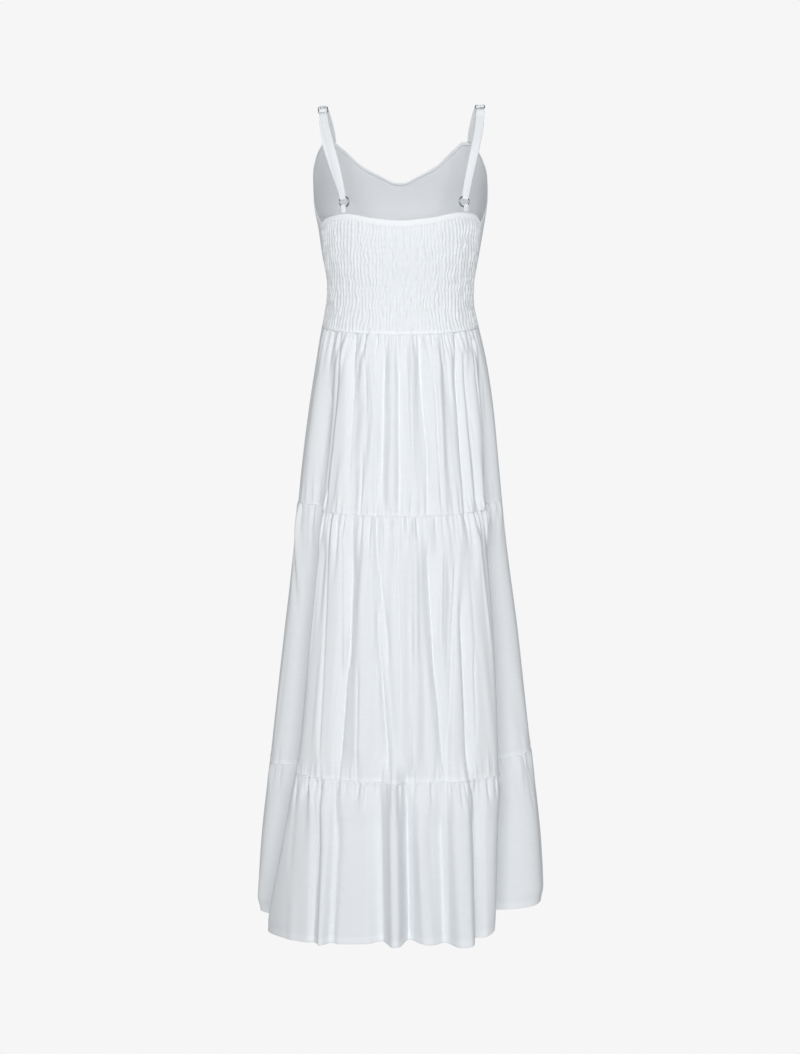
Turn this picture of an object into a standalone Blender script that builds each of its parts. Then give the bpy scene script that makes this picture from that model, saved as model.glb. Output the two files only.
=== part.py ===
"""Tiered maxi sundress with a shirred back, filled out as worn, with nobody in it.

Blender script, metres, +Z up. The wearer faces -Y and their left is +X. The origin is at shoulder level,
midway between the straps, where the wearer holds the dress up. The cut is measured as a tailor would: a
drop below the shoulders, a turn from the centre back, and a distance out from the smooth form. Tables are
in millimetres.
"""

import math
import types

import bmesh
import bpy
import numpy as np
from mathutils import Matrix, Vector

MM = 0.001


def table(names, *rows):
    """A short table, with one array for each named column."""
    return types.SimpleNamespace(**dict(zip(names.split(), np.array(rows, float).T)))


# Cloth and seams, in millimetres
CLOTH = 1.4
BAND_CLOTH = 2.0
STRAP_CLOTH = 0.9
SEAM_GAP = 0.3

# Drops of the seams below the shoulders
WAIST = 352
TOP_SEAM = 635
MIDDLE_SEAM = 1055
HEM = 1316

# Plan of the smooth form: half widths to the wearer's left and right, depths to the back and the front
# of the widest line, that line's own place towards the back, and how square the corners are
SECTIONS = table(
    "drop left right back front middle square",
    (40, 156, 156, 70, 68, 0, 2.2),
    (70, 150, 150, 82, 82, 0, 2.2),
    (97, 144, 145, 90, 98, 0, 2.2),
    (125, 139, 141, 97, 110, 0, 2.2),
    (162, 136, 138, 102, 122, 0, 2.2),
    (194, 130, 133, 103, 126, 0, 2.2),
    (236, 124, 126, 99, 120, 0, 2.2),
    (285, 116, 118, 92, 106, 0, 2.2),
    (318, 117, 118, 91, 100, 0, 2.2),
    (352, 124, 125, 95, 98, 0, 2.2),
    (405, 133, 137, 110, 104, -5, 2.25),
    (475, 144, 148, 126, 112, -12, 2.3),
    (585, 159, 160, 152, 124, -20, 2.35),
    (700, 171, 173, 172, 136, -20, 2.4),
    (850, 189, 192, 190, 150, -20, 2.45),
    (1034, 208, 209, 208, 164, -20, 2.5),
    (1188, 225, 227, 216, 172, -20, 2.5),
    (1316, 233, 235, 216, 178, -20, 2.5),
)

# Turn of the side seams from the centre back, in degrees
SIDE_SEAMS = table("drop turn", (140, 61), (182, 67), (265, 78), (352, 86), (480, 88), (1316, 90))

# Top edge of the shirred back's band, by its share of the way from the centre back to a side seam
BAND_TOP = table(
    "share drop",
    (-1, 182),
    (-0.9, 169),
    (-0.76, 162),
    (-0.35, 166.5),
    (0, 170),
    (0.35, 166.5),
    (0.65, 162.5),
    (0.86, 172),
    (1, 182),
)
BAND_HEIGHT = 10
BAND_COLUMNS = 44

# Shirring: upright pleats, held flat by rows of elastic thread
PLEATS = 40
ELASTIC_ROWS = 6
PLEAT_HEIGHT = 1.9
ELASTIC_HEIGHT = 0.4

# Top edge of the front, as turns from the centre front: neckline, strap point and armhole. The wearer's
# right strap sits a little further out than the left
NECKLINE = table("turn drop", (0, 138), (5, 136.5), (14, 127), (32.8, 105.5), (41.6, 91), (57.2, 66))
ARMHOLE = table(
    "turn drop", (64.9, 67), (71.7, 95), (77, 110), (82, 125), (94, 153), (104, 171), (113, 182)
)
RIGHT_SPREAD = 0.045
NECKLINE_COLUMNS = 9
STRAP_POINT_COLUMNS = 2
ARMHOLE_COLUMNS = 7
FRONT_ROWS = 10

# Skirt tiers: columns of each panel, gathers along its top, how far those stand out and puff out
PANEL_COLUMNS = 52
PANEL_CROWDING = 0.3
ROW_CROWDING = 1.35
TIERS = table(
    "top bottom gathers gather_height puff rows",
    (WAIST, TOP_SEAM, 13, 2.2, 2.0, 5),
    (TOP_SEAM, MIDDLE_SEAM, 13, 2.4, 3.0, 6),
    (MIDDLE_SEAM, HEM, 13, 2.8, 4.0, 5),
)
TIER_NAMES = ("top", "mid", "hem")
GATHER_START = 0.2
GATHER_RISE = 26
GATHER_FALL = 110
PUFF_LENGTH = 70
# The deep hollow at each side, where the back of the skirt stands away from the sides: its turn from the
# centre back, its width along the cloth and its depth
SIDE_HOLLOWS = table(
    "drop left left_width left_depth right right_width right_depth",
    (352, 60, 44, 2, -70, 40, 2),
    (480, 59, 76, 19, -69, 62, 13),
    (635, 59, 104, 34, -66, 98, 30),
    (850, 61, 128, 48, -64, 134, 50),
    (1055, 62, 134, 54, -60, 152, 62),
    (1180, 66, 114, 46, -57, 164, 70),
    (1316, 73, 84, 32, -55, 172, 74),
)

# Folds of the back: where each starts and ends, its place across the back there (the wearer's left is
# positive), its width and its height, where a trough's height is negative
FADE_ABOVE = 110
FADE_BELOW = 60
BACK_FOLDS = table(
    "start end across_start across_end width height_start height_end",
    (420, 600, 71, 75, 36, -6, -5),
    (420, 520, 46, 41, 26, 4, 2),
    (430, 600, 25, 30, 28, -4, -3),
    (430, 600, 12, 13, 26, 4, 4),
    (430, 600, -1, 0, 22, -3, -3),
    (430, 560, -17, -20, 24, 4, 3),
    (430, 600, -33, -44, 26, -5, -4),
    (430, 600, -57, -66, 32, 5, 4),
    (430, 600, -91, -105, 30, -6, -6),
    (430, 600, -108, -124, 32, -5, -7),
    (740, 1000, 77, 97, 42, -7, -8),
    (740, 1000, 30, 18, 38, -6, -8),
    (740, 1000, 52, 60, 46, 4, 7),
    (740, 1000, -22, -20, 40, 6, 8),
    (740, 1000, -46, -68, 36, -7, -8),
    (760, 980, -82, -71, 34, -5, -4),
    (780, 1000, -99, -109, 36, -5, -7),
    (1160, 1316, 128, 131, 34, -6, -9),
    (1160, 1316, 113, 121, 38, 8, 14),
    (1160, 1316, 99, 108, 34, -7, -10),
    (1150, 1316, 33, 31, 50, -9, -15),
    (1090, 1316, 11, 8, 40, 18, 28),
    (1140, 1316, -12, -15, 40, -11, -17),
    (1160, 1316, -32, -42, 34, 6, 8),
    (1150, 1316, -61, -67, 38, -10, -14),
    (1120, 1316, -87, -91, 58, 20, 30),
    (1150, 1316, -116, -116, 38, -12, -17),
)

# Folds of the front: as many in each tier, uneven by a fixed seed
FRONT_FOLDS_A_TIER = 9
FRONT_FOLD_SEED = 11
FRONT_FOLD_WIDTHS = (36, 54)
FRONT_FOLD_HEIGHTS = ((-8, 8), (-12, 12), (-20, 20))
FRONT_FOLD_REACH = 0.86
FRONT_FOLD_SHIFT = 0.05
FRONT_FOLD_STRENGTH = (0.55, 1.0)
FRONT_FOLD_WIDENING = 0.2
FRONT_FOLD_START = 77
FRONT_FOLD_END = 20
FRONT_FOLD_EASE = 0.4

# Straps, sliders, rings and tabs, for the wearer's left side and their right
STRAP_WIDTH = 12.5
STRAP_AT_RING = 10.5
STRAP_STEP = 6
STRAP_POINTS = 600
SLIDER_ACROSS = 16
SLIDER_THICK = 1.4
SLIDER_SLOT = 3.8
SLIDER_SLOT_ACROSS = 13.6
SLIDER_BAR = 1.6
SLIDER_EDGE = 0.25
SLIDER_PLACE = {"left": 0.395, "right": 0.345}
STRAP_BELOW = 1.5
RETURN_BELOW = 2.9
RETURN_ASIDE = {"left": 2.2, "right": -0.8}
RETURN_END = 1.0
STRAIGHT_LENGTH = 7
STRAIGHT_FADE = 10
RING_RADIUS = 8.2
RING_WIRE = 1.1
RING_STEPS = 20
LOOP_RADIUS = 2.05
LOOP_STATIONS = 7
SLIDER_STATIONS = (-1.6, -1.0, -0.8, -0.6, -0.4, -0.18, 0, 0.18, 0.4, 0.6, 0.8, 1.0, 1.6)
STRAP_LOOP_PAST = 2.5
STRAP_SPREAD = 14
TAB_WIDTH = 8
TAB_LOOP_PAST = 1.5
TAB_FOOT_SHARE = {"left": 0.65, "right": -0.76}
TAB_FOOT_SPREAD = 0.75
TAB_FOOT_GAP = 0.7
TAB_FOOT_LEAN = 0.03
STRAP_LINES = {
    "left": table(
        "x y drop turn",
        (107.6, -58, 65.8, 28),
        (110, -46, 46, 24),
        (116.5, -25, 18, 14),
        (120.5, -8, 4, 6),
        (121.8, 4, 4, 0),
        (120.8, 13, 12, -4),
        (117, 31, 34, -10),
        (108.5, 53, 64, -18),
        (98, 70, 103, -24),
        (90.5, 79, 136, -28),
    ),
    "right": table(
        "x y drop turn",
        (-113.5, -54.5, 65.8, -31),
        (-115.5, -44, 46, -26),
        (-121, -25, 18, -15),
        (-125, -9, 3, -6),
        (-126.2, 0, 2, 0),
        (-126.6, 10, 9, 4),
        (-124.5, 30, 34, 10),
        (-118, 50, 64, 16),
        (-109.5, 66, 103, 22),
        (-103.2, 75, 136, 26),
    ),
}

WHITE = (0.86, 0.88, 0.91)
STEEL = (0.62, 0.62, 0.64)


def smooth(at, places, values):
    """A curve through a table's values, with the slope at each row taken from its neighbours."""
    slopes = np.gradient(values, places)
    row = np.clip(np.searchsorted(places, at, side="right") - 1, 0, len(places) - 2)
    span = places[row + 1] - places[row]
    t = np.clip((at - places[row]) / span, 0, 1)
    rise = values[row + 1] - values[row]
    start = slopes[row] * span
    end = slopes[row + 1] * span
    return values[row] + t * (start + t * (3 * rise - 2 * start - end + t * (start + end - 2 * rise)))


def ease(t):
    """From 0 to 1 with level ends."""
    t = np.clip(t, 0, 1)
    return t * t * (3 - 2 * t)


def section(drop):
    """The plan sizes at a drop."""
    names = ("left", "right", "back", "front", "middle", "square")
    return types.SimpleNamespace(
        **{name: smooth(drop, SECTIONS.drop, getattr(SECTIONS, name)) for name in names}
    )


def place(turn, drop, out=0.0):
    """Points at a turn from the centre back, a drop, and a distance out from the smooth form."""
    size = section(drop)
    across = np.sin(turn)
    towards = np.cos(turn)
    half = np.where(across >= 0, size.left, size.right)
    depth = np.where(towards >= 0, size.back, size.front)
    power = size.square
    reach = (np.abs(across / half) ** power + np.abs(towards / depth) ** power) ** (-1 / power)
    x = reach * across
    y = reach * towards
    side_x = np.sign(x) * np.abs(x / half) ** (power - 1) / half
    side_y = np.sign(y) * np.abs(y / depth) ** (power - 1) / depth
    length = np.hypot(side_x, side_y)
    x = x + out * side_x / length
    y = y + size.middle + out * side_y / length
    return np.stack([x, y, -drop * np.ones_like(x)], axis=-1)


def turn_of(across, drop, front=False):
    """The turn from the centre back of a place across the back, or across the front."""
    size = section(drop)
    half = np.where(across >= 0, size.left, size.right)
    depth = size.front if front else size.back
    share = np.clip(np.abs(across) / half, 0, 0.999)
    towards = depth * (1 - share**size.square) ** (1 / size.square)
    turn = np.arctan2(across, towards)
    return math.pi - turn if front else turn


def front_folds():
    """Uneven ridges and troughs for the front of each tier, in the columns of the back's table."""
    chance = np.random.default_rng(FRONT_FOLD_SEED)
    rows = []
    for tier, heights in enumerate(FRONT_FOLD_HEIGHTS):
        top = TIERS.top[tier]
        bottom = TIERS.bottom[tier]
        places = np.linspace(-FRONT_FOLD_REACH, FRONT_FOLD_REACH, FRONT_FOLDS_A_TIER)
        for number, share in enumerate(places):
            share = share + chance.uniform(-FRONT_FOLD_SHIFT, FRONT_FOLD_SHIFT)
            half_top = section(top).left
            half_bottom = section(bottom).left
            height = heights[number % 2] * chance.uniform(*FRONT_FOLD_STRENGTH)
            width = chance.uniform(*FRONT_FOLD_WIDTHS) * (1 + FRONT_FOLD_WIDENING * tier)
            start = top + FRONT_FOLD_START
            end = bottom - FRONT_FOLD_END
            at_top = share * half_top
            at_bottom = share * half_bottom
            rows.append((start, end, at_top, at_bottom, width, FRONT_FOLD_EASE * height, height))
    return table("start end across_start across_end width height_start height_end", *rows)


FRONT_FOLDS = front_folds()


def bump(turn, drop, centre, width):
    """A soft ridge one high along a fold's centre, falling to nothing at its width."""
    point = place(centre, drop)
    reach = np.hypot(point[..., 0], point[..., 1] - section(drop).middle)
    away = (turn - centre + math.pi) % (2 * math.pi) - math.pi
    share = np.clip(np.abs(away * reach) / (width / 2), 0, 1)
    return 0.5 + 0.5 * np.cos(math.pi * share)


def hollow_height(turn, drop):
    """How far the deep side hollows move the cloth in."""
    height = np.zeros_like(drop)
    for side in ("left", "right"):
        centre = np.radians(smooth(drop, SIDE_HOLLOWS.drop, getattr(SIDE_HOLLOWS, side)))
        width = smooth(drop, SIDE_HOLLOWS.drop, getattr(SIDE_HOLLOWS, side + "_width"))
        depth = smooth(drop, SIDE_HOLLOWS.drop, getattr(SIDE_HOLLOWS, side + "_depth"))
        height -= depth * bump(turn, drop, centre, width)
    return height


def fold_height(turn, drop):
    """How far the folds move the cloth out at a turn and a drop."""
    height = hollow_height(turn, drop)
    for folds, front in ((BACK_FOLDS, False), (FRONT_FOLDS, True)):
        for row in range(len(folds.start)):
            start = folds.start[row]
            end = folds.end[row]
            along = np.clip((drop - start) / (end - start), 0, 1)
            across = folds.across_start[row] + along * (folds.across_end[row] - folds.across_start[row])
            tall = folds.height_start[row] + along * (folds.height_end[row] - folds.height_start[row])
            fade = (1 - ease((start - drop) / FADE_ABOVE)) * (1 - ease((drop - end) / FADE_BELOW))
            height += tall * fade * bump(turn, drop, turn_of(across, drop, front), folds.width[row])
    return height


def side_turn(drop):
    """Turn of the side seams at a drop."""
    return np.radians(smooth(drop, SIDE_SEAMS.drop, SIDE_SEAMS.turn))


def panel_turns(shares, drop, front):
    """Turns across a panel, for shares from 0 to 1 of its width, kept off the side seams by the gap."""
    edge = side_turn(drop)
    gap = SEAM_GAP / 2 / section(drop).left
    if front:
        return edge + gap + shares * 2 * (math.pi - edge - gap)
    return -(edge - gap) + shares * 2 * (edge - gap)


def cloth_object(name, outer, inner, colour, roughness):
    """One closed wall between an outer and an inner sheet of points, in millimetres. Both sheets are split
    into triangles the same way, so that they never cross."""
    rows, columns = outer.shape[:2]
    mesh = bpy.data.meshes.new(name)
    form = bmesh.new()
    sheets = []
    for sheet in (outer, inner):
        points = sheet.reshape(-1, 3) * MM
        sheets.append([form.verts.new(point) for point in points])
    for r in range(rows - 1):
        for c in range(columns - 1):
            corner = r * columns + c
            across = corner + columns + 1
            for half in ((corner, corner + 1, across), (corner, across, corner + columns)):
                form.faces.new([sheets[0][point] for point in half])
                form.faces.new([sheets[1][point] for point in reversed(half)])
    rim = list(range(columns))
    rim += [r * columns + columns - 1 for r in range(1, rows)]
    rim += [(rows - 1) * columns + c for c in range(columns - 2, -1, -1)]
    rim += [r * columns for r in range(rows - 2, 0, -1)]
    for first, second in zip(rim, rim[1:] + rim[:1]):
        form.faces.new((sheets[0][second], sheets[0][first], sheets[1][first], sheets[1][second]))
    bmesh.ops.recalc_face_normals(form, faces=form.faces)
    form.to_mesh(mesh)
    form.free()
    obj = bpy.data.objects.new(name, mesh)
    DRESS.objects.link(obj)
    finish(obj, colour, roughness)


def finish(obj, colour, roughness, metallic=0.0):
    """Gives a piece its own material and smooth shading but for its sharp edges."""
    material = bpy.data.materials.new(obj.name)
    material.use_nodes = True
    surface = material.node_tree.nodes["Principled BSDF"]
    surface.inputs["Base Color"].default_value = (*colour, 1)
    surface.inputs["Roughness"].default_value = roughness
    surface.inputs["Metallic"].default_value = metallic
    obj.data.materials.clear()
    obj.data.materials.append(material)
    obj.data.shade_smooth()
    obj.data.set_sharp_from_angle(angle=math.radians(50))


def tier_out(tier, step, turn, drop):
    """How far a tier's cloth stands out from the smooth form: folds, gathers and the puff under the seam."""
    below = drop - TIERS.top[tier]
    rise = ease(below / GATHER_RISE)
    fall = 1 - ease((below - GATHER_RISE) / GATHER_FALL)
    wave = np.cos(2 * math.pi * TIERS.gathers[tier] * step)
    gathers = TIERS.gather_height[tier] * (GATHER_START + (1 - GATHER_START) * rise) * fall * wave
    puff = TIERS.puff[tier] * np.sin(math.pi * np.clip(below / PUFF_LENGTH, 0, 1))
    return fold_height(turn, drop) + gathers + puff


def skirt_panel(tier, front):
    """One gathered panel of a tier, from seam to seam."""
    step = np.linspace(0, 1, PANEL_COLUMNS + 1)[None, :]
    shares = step + PANEL_CROWDING * np.sin(2 * math.pi * step) / (2 * math.pi)
    down = np.linspace(0, 1, int(TIERS.rows[tier]) + 1)[:, None] ** ROW_CROWDING
    last = tier == len(TIER_NAMES) - 1
    top = TIERS.top[tier] + SEAM_GAP / 2
    bottom = TIERS.bottom[tier] - (0 if last else SEAM_GAP / 2)
    drop = top + down * (bottom - top)
    turn = panel_turns(shares, drop, front)
    drop = drop * np.ones_like(turn)
    out = tier_out(tier, step, turn, drop)
    name = f"skirt_{TIER_NAMES[tier]}_{'front' if front else 'back'}"
    cloth_object(name, place(turn, drop, out), place(turn, drop, out - CLOTH), WHITE, 0.8)


def band_drop(share):
    """Drop of the band's top edge at a share of the way from the centre back to a side seam."""
    return smooth(share, BAND_TOP.share, BAND_TOP.drop)


def back_turn(share, end_drop):
    """Turn of a share of the way to a side seam, in a row that meets the seam at a drop."""
    return share * (side_turn(end_drop) - SEAM_GAP / 2 / section(end_drop).left)


def back_band():
    """The plain band along the top of the back, a little thicker than the cloth."""
    share = np.linspace(-1, 1, BAND_COLUMNS + 1)[None, :]
    below = np.array([[0.0], [1.0]]) * BAND_HEIGHT
    drop = band_drop(share) + below
    turn = back_turn(share, BAND_TOP.drop[-1] + below)
    outer = place(turn, drop, (BAND_CLOTH - CLOTH) / 2)
    inner = place(turn, drop, (BAND_CLOTH - CLOTH) / 2 - BAND_CLOTH)
    cloth_object("back_band", outer, inner, WHITE, 0.8)


def shirred_back():
    """The back bodice: pleats raised on the outside between rows of elastic, over a plain inside."""
    columns = 2 * PLEATS
    rows = 2 * ELASTIC_ROWS
    share = np.linspace(-1, 1, columns + 1)[None, :]
    down = np.linspace(0, 1, rows + 1)[:, None]
    bottom = WAIST - SEAM_GAP / 2
    top = band_drop(share) + BAND_HEIGHT + SEAM_GAP
    drop = top + down * (bottom - top)
    turn = back_turn(share, top[0, -1] + down * (bottom - top[0, -1]))
    column = np.arange(columns + 1)[None, :]
    row = np.arange(rows + 1)[:, None]
    between = row % 2 == 1
    ridge = (column + row // 2) % 2 == 0
    raised = np.where(between & ridge, PLEAT_HEIGHT, np.where(between, 0.0, ELASTIC_HEIGHT))
    raised = np.where((column == 0) | (column == columns), 0.0, raised)
    cloth_object("bodice_back", place(turn, drop, raised), place(turn, drop, -CLOTH), WHITE, 0.85)


def front_bodice():
    """The plain front with its V neckline, rising to a point at each strap."""
    neck = np.linspace(NECKLINE.turn[0], NECKLINE.turn[-1], NECKLINE_COLUMNS + 1)
    point = np.linspace(NECKLINE.turn[-1], ARMHOLE.turn[0], STRAP_POINT_COLUMNS + 1)
    arm = np.linspace(ARMHOLE.turn[0], ARMHOLE.turn[-1], ARMHOLE_COLUMNS + 1)
    half = np.concatenate([neck, point[1:], arm[1:]])
    edge = np.concatenate(
        [
            smooth(neck, NECKLINE.turn, NECKLINE.drop),
            np.full(STRAP_POINT_COLUMNS, NECKLINE.drop[-1]),
            smooth(arm[1:], ARMHOLE.turn, ARMHOLE.drop),
        ]
    )
    seam = ARMHOLE.turn[-1]
    spread = 1 + RIGHT_SPREAD * (1 - ease((half - ARMHOLE.turn[0]) / (seam - ARMHOLE.turn[0])))
    from_front = np.concatenate([-(half * spread)[:0:-1], half])[None, :] / seam
    top = np.concatenate([edge[:0:-1], edge])[None, :]
    down = np.linspace(0, 1, FRONT_ROWS + 1)[:, None]
    drop = top + down * (WAIST - SEAM_GAP / 2 - top)
    gap = SEAM_GAP / 2 / section(drop).left
    reach = math.pi - side_turn(np.maximum(drop, ARMHOLE.drop[-1])) - gap
    turn = math.pi - from_front * reach
    cloth_object("bodice_front", place(turn, drop), place(turn, drop, -CLOTH), WHITE, 0.8)


def unit(vectors):
    """Vectors made one long."""
    return vectors / np.linalg.norm(vectors, axis=-1, keepdims=True)


def strap_line(side):
    """A strap's middle line: how far along each close point lies, its place and its three directions."""
    rows = STRAP_LINES[side]
    order = np.arange(len(rows.x), dtype=float)
    at = np.linspace(0, order[-1], STRAP_POINTS)
    drop = smooth(at, order, rows.drop)
    points = np.stack([smooth(at, order, rows.x), smooth(at, order, rows.y), -drop], -1)
    along = np.concatenate([[0], np.cumsum(np.linalg.norm(np.diff(points, axis=0), axis=1))])
    tangent = unit(np.gradient(points, along, axis=0))
    turn = np.radians(smooth(at, order, rows.turn))
    across = np.stack([np.cos(turn), np.sin(turn), np.zeros_like(turn)], -1)
    across = unit(across - (across * tangent).sum(-1, keepdims=True) * tangent)
    return types.SimpleNamespace(
        along=along,
        length=along[-1],
        slider=along[-1] * SLIDER_PLACE[side],
        ways=(points, tangent, across, np.cross(across, tangent)),
    )


def strap_frame(line, at):
    """Place, direction along, direction across and outward direction at a length along a strap."""
    return [np.array([np.interp(at, line.along, way[:, axis]) for axis in range(3)]) for way in line.ways]


def strap_station(line, at, lift, aside=0.0):
    """A strap's point and across direction, lifted off its line, and straight where the slider holds it."""
    point, _, across, up = strap_frame(line, at)
    centre, tangent, slider_across, slider_up = strap_frame(line, line.slider)
    away = at - line.slider
    straight = 1 - ease((abs(away) - STRAIGHT_LENGTH) / STRAIGHT_FADE)
    free = point + lift * up + aside * across
    held = centre + away * tangent + lift * slider_up + aside * slider_across
    mixed = unit(across + straight * (slider_across - across))
    return free + straight * (held - free), mixed


def slider_lift(away):
    """Height of a strap over the slider's middle: under its end bars and over its centre bar."""
    bar = SLIDER_BAR / 2
    return STRAP_BELOW * (1 - 2 * ease((abs(away) - bar) / SLIDER_SLOT))


def ring_lift():
    """Height of the ring's wire over a strap's line: midway between the strap's two layers."""
    return -(STRAP_BELOW + RETURN_BELOW) / 2


def loop_round(centre, past, up, across, width):
    """Stations half way round a wire, from its outer side to its inner side."""
    turns = np.linspace(0, math.pi, LOOP_STATIONS)
    return [(centre + LOOP_RADIUS * (math.cos(t) * up + math.sin(t) * past), across, width) for t in turns]


def strap_stations(side, line):
    """A strap from the front point, through the slider, round the ring and back up to the slider's bar."""
    slot_end = SLIDER_BAR / 2 + SLIDER_SLOT
    near = slot_end * np.array(SLIDER_STATIONS)
    before = np.arange(0, line.slider + near[0] - STRAP_STEP / 2, STRAP_STEP)
    steps = int((line.length - line.slider - near[-1]) / STRAP_STEP)
    after = np.linspace(line.slider + near[-1], line.length, steps + 1)
    stations = []
    for at in np.concatenate([before, line.slider + near, after[1:]]):
        spread = ease((at - line.length + STRAP_SPREAD) / STRAP_SPREAD)
        lift = slider_lift(at - line.slider) + spread * (ring_lift() + LOOP_RADIUS + STRAP_BELOW)
        width = STRAP_WIDTH + spread * (STRAP_AT_RING - STRAP_WIDTH)
        stations.append((*strap_station(line, at, lift), width))
    point, tangent, across, up = strap_frame(line, line.length)
    centre = point + ring_lift() * up + STRAP_LOOP_PAST * tangent
    stations += loop_round(centre, tangent, up, across, STRAP_AT_RING)
    for at in np.concatenate([after[::-1], [line.slider + slot_end, line.slider + RETURN_END]]):
        spread = ease((at - line.length + STRAP_SPREAD) / STRAP_SPREAD)
        rise = 1 - ease((at - line.slider - SLIDER_BAR) / SLIDER_SLOT)
        lift = -RETURN_BELOW + spread * (ring_lift() - LOOP_RADIUS + RETURN_BELOW)
        lift += rise * (RETURN_BELOW - STRAP_BELOW)
        share = (at - line.slider) / (line.length - line.slider)
        aside = RETURN_ASIDE[side] * math.sin(math.pi * share)
        width = STRAP_WIDTH + spread * (STRAP_AT_RING - STRAP_WIDTH)
        stations.append((*strap_station(line, at, lift, aside), width))
    return stations


def ribbon(name, stations, thick):
    """A flat ribbon through its stations, each with a place, a direction across and a width."""
    points = np.array([station[0] for station in stations])
    across = unit(np.array([station[1] for station in stations]))
    half = np.array([station[2] for station in stations])[:, None] / 2
    tangent = unit(np.gradient(points, axis=0))
    up = unit(np.cross(across, tangent)) * thick / 2
    outer = np.stack([points + up - half * across, points + up + half * across], axis=1)
    inner = np.stack([points - up - half * across, points - up + half * across], axis=1)
    cloth_object(name, outer, inner, WHITE, 0.6)


def hardware_matrix(point, across, tangent, up):
    """Stands a piece with its X across the strap, its Y along it and its Z outward."""
    turned = Matrix((Vector(across), Vector(tangent), Vector(up))).transposed().to_4x4()
    return Matrix.Translation(Vector(point) * MM) @ turned


def take_primitive(name, matrix, collection):
    """Names the primitive just added, places it and moves it to a collection."""
    obj = bpy.context.object
    obj.name = name
    obj.data.name = name
    obj.matrix_world = matrix
    for other in obj.users_collection:
        other.objects.unlink(obj)
    collection.objects.link(obj)
    return obj


def box(name, size, centre, matrix, collection):
    """A box of a size in millimetres, its centre given in the piece's own directions."""
    bpy.ops.mesh.primitive_cube_add(size=1)
    obj = take_primitive(name, matrix @ Matrix.Translation(Vector(centre) * MM), collection)
    obj.data.transform(Matrix.Diagonal((*[side * MM for side in size], 1)))
    return obj


def slider(side, line):
    """A metal slider: a small plate with two slots, the strap over its centre bar."""
    point, tangent, across, up = strap_frame(line, line.slider)
    matrix = hardware_matrix(point, across, tangent, up)
    long = 3 * SLIDER_BAR + 2 * SLIDER_SLOT
    plate = box(f"slider_{side}", (SLIDER_ACROSS, long, SLIDER_THICK), (0, 0, 0), matrix, DRESS)
    for way in (-1, 1):
        centre = (0, way * (SLIDER_BAR + SLIDER_SLOT) / 2, 0)
        size = (SLIDER_SLOT_ACROSS, SLIDER_SLOT, 4 * SLIDER_THICK)
        cutter = box(f"slot_{side}_{way + 1}", size, centre, matrix, CUTTERS)
        cutter.hide_render = True
        cutter.display_type = "WIRE"
        cut = plate.modifiers.new("slot", "BOOLEAN")
        cut.operation = "DIFFERENCE"
        cut.object = cutter
    edge = plate.modifiers.new("soft edge", "BEVEL")
    edge.width = SLIDER_EDGE * MM
    edge.segments = 1
    finish(plate, STEEL, 0.25, 1.0)


def ring(side, line):
    """A metal ring with the strap round its top and the tab round its bottom; returns its centre."""
    point, tangent, across, up = strap_frame(line, line.length)
    centre = point + ring_lift() * up + RING_RADIUS * tangent
    bpy.ops.mesh.primitive_torus_add(
        major_radius=RING_RADIUS * MM,
        minor_radius=RING_WIRE * MM,
        major_segments=RING_STEPS,
        minor_segments=8,
    )
    obj = take_primitive(f"ring_{side}", hardware_matrix(centre, across, tangent, up), DRESS)
    finish(obj, STEEL, 0.25, 1.0)
    return centre, up


def tab(side, centre, up):
    """The folded loop of cloth from the top of the back band, round the bottom of the ring."""
    shares = TAB_FOOT_SHARE[side] + np.array([-TAB_FOOT_LEAN, 0, TAB_FOOT_LEAN])
    drops = band_drop(shares) - TAB_FOOT_GAP
    turns = back_turn(shares, BAND_TOP.drop[-1])
    before, foot, after = place(turns, drops, -CLOTH / 2)
    foot_across = unit(after - before)
    foot_up = unit(place(turns, drops, 1.0)[1] - foot)
    down = unit(foot - centre - np.dot(foot - centre, up) * up)
    across = np.cross(down, up)
    fold = centre + (RING_RADIUS - TAB_LOOP_PAST) * down
    round_wire = loop_round(fold, -down, up, across, TAB_WIDTH)
    start = (foot + TAB_FOOT_SPREAD * foot_up, foot_across, TAB_WIDTH)
    end = (foot - TAB_FOOT_SPREAD * foot_up, foot_across, TAB_WIDTH)
    past_wire = 2 * TAB_LOOP_PAST * down
    outer_leg = (round_wire[0][0] + past_wire, across, TAB_WIDTH)
    inner_leg = (round_wire[-1][0] + past_wire, across, TAB_WIDTH)
    ribbon(f"tab_{side}", [start, outer_leg, *round_wire, inner_leg, end], STRAP_CLOTH)


def skirt():
    """The three tiers, each a front and a back panel."""
    for tier in range(len(TIER_NAMES)):
        skirt_panel(tier, front=False)
        skirt_panel(tier, front=True)


def straps():
    """The strap, slider, ring and tab of each side."""
    for side in STRAP_LINES:
        line = strap_line(side)
        ribbon(f"strap_{side}", strap_stations(side, line), STRAP_CLOTH)
        slider(side, line)
        centre, up = ring(side, line)
        tab(side, centre, up)


for old in list(bpy.data.objects):
    bpy.data.objects.remove(old, do_unlink=True)
DRESS = bpy.data.collections.new("tiered_maxi_sundress")
CUTTERS = bpy.data.collections.new("cutters")
bpy.context.scene.collection.children.link(DRESS)
bpy.context.scene.collection.children.link(CUTTERS)

front_bodice()
shirred_back()
back_band()
straps()
skirt()
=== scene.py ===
# %% [markdown]
# # A tiered maxi sundress with a shirred back
#
# The object is a long white woven sundress, seen from behind and filled out as if somebody wore it. The back
# bodice is shirred on rows of elastic thread, the straps run through metal sliders and rings, and the skirt
# has three gathered tiers. The CAD frame gives every piece its place and its main shape. This script makes
# the cloth, sewing and metal that show. Lengths in the tables are millimetres, as on a maker's pattern.

# %% Frame, libraries and small helpers
import math
import types

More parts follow.
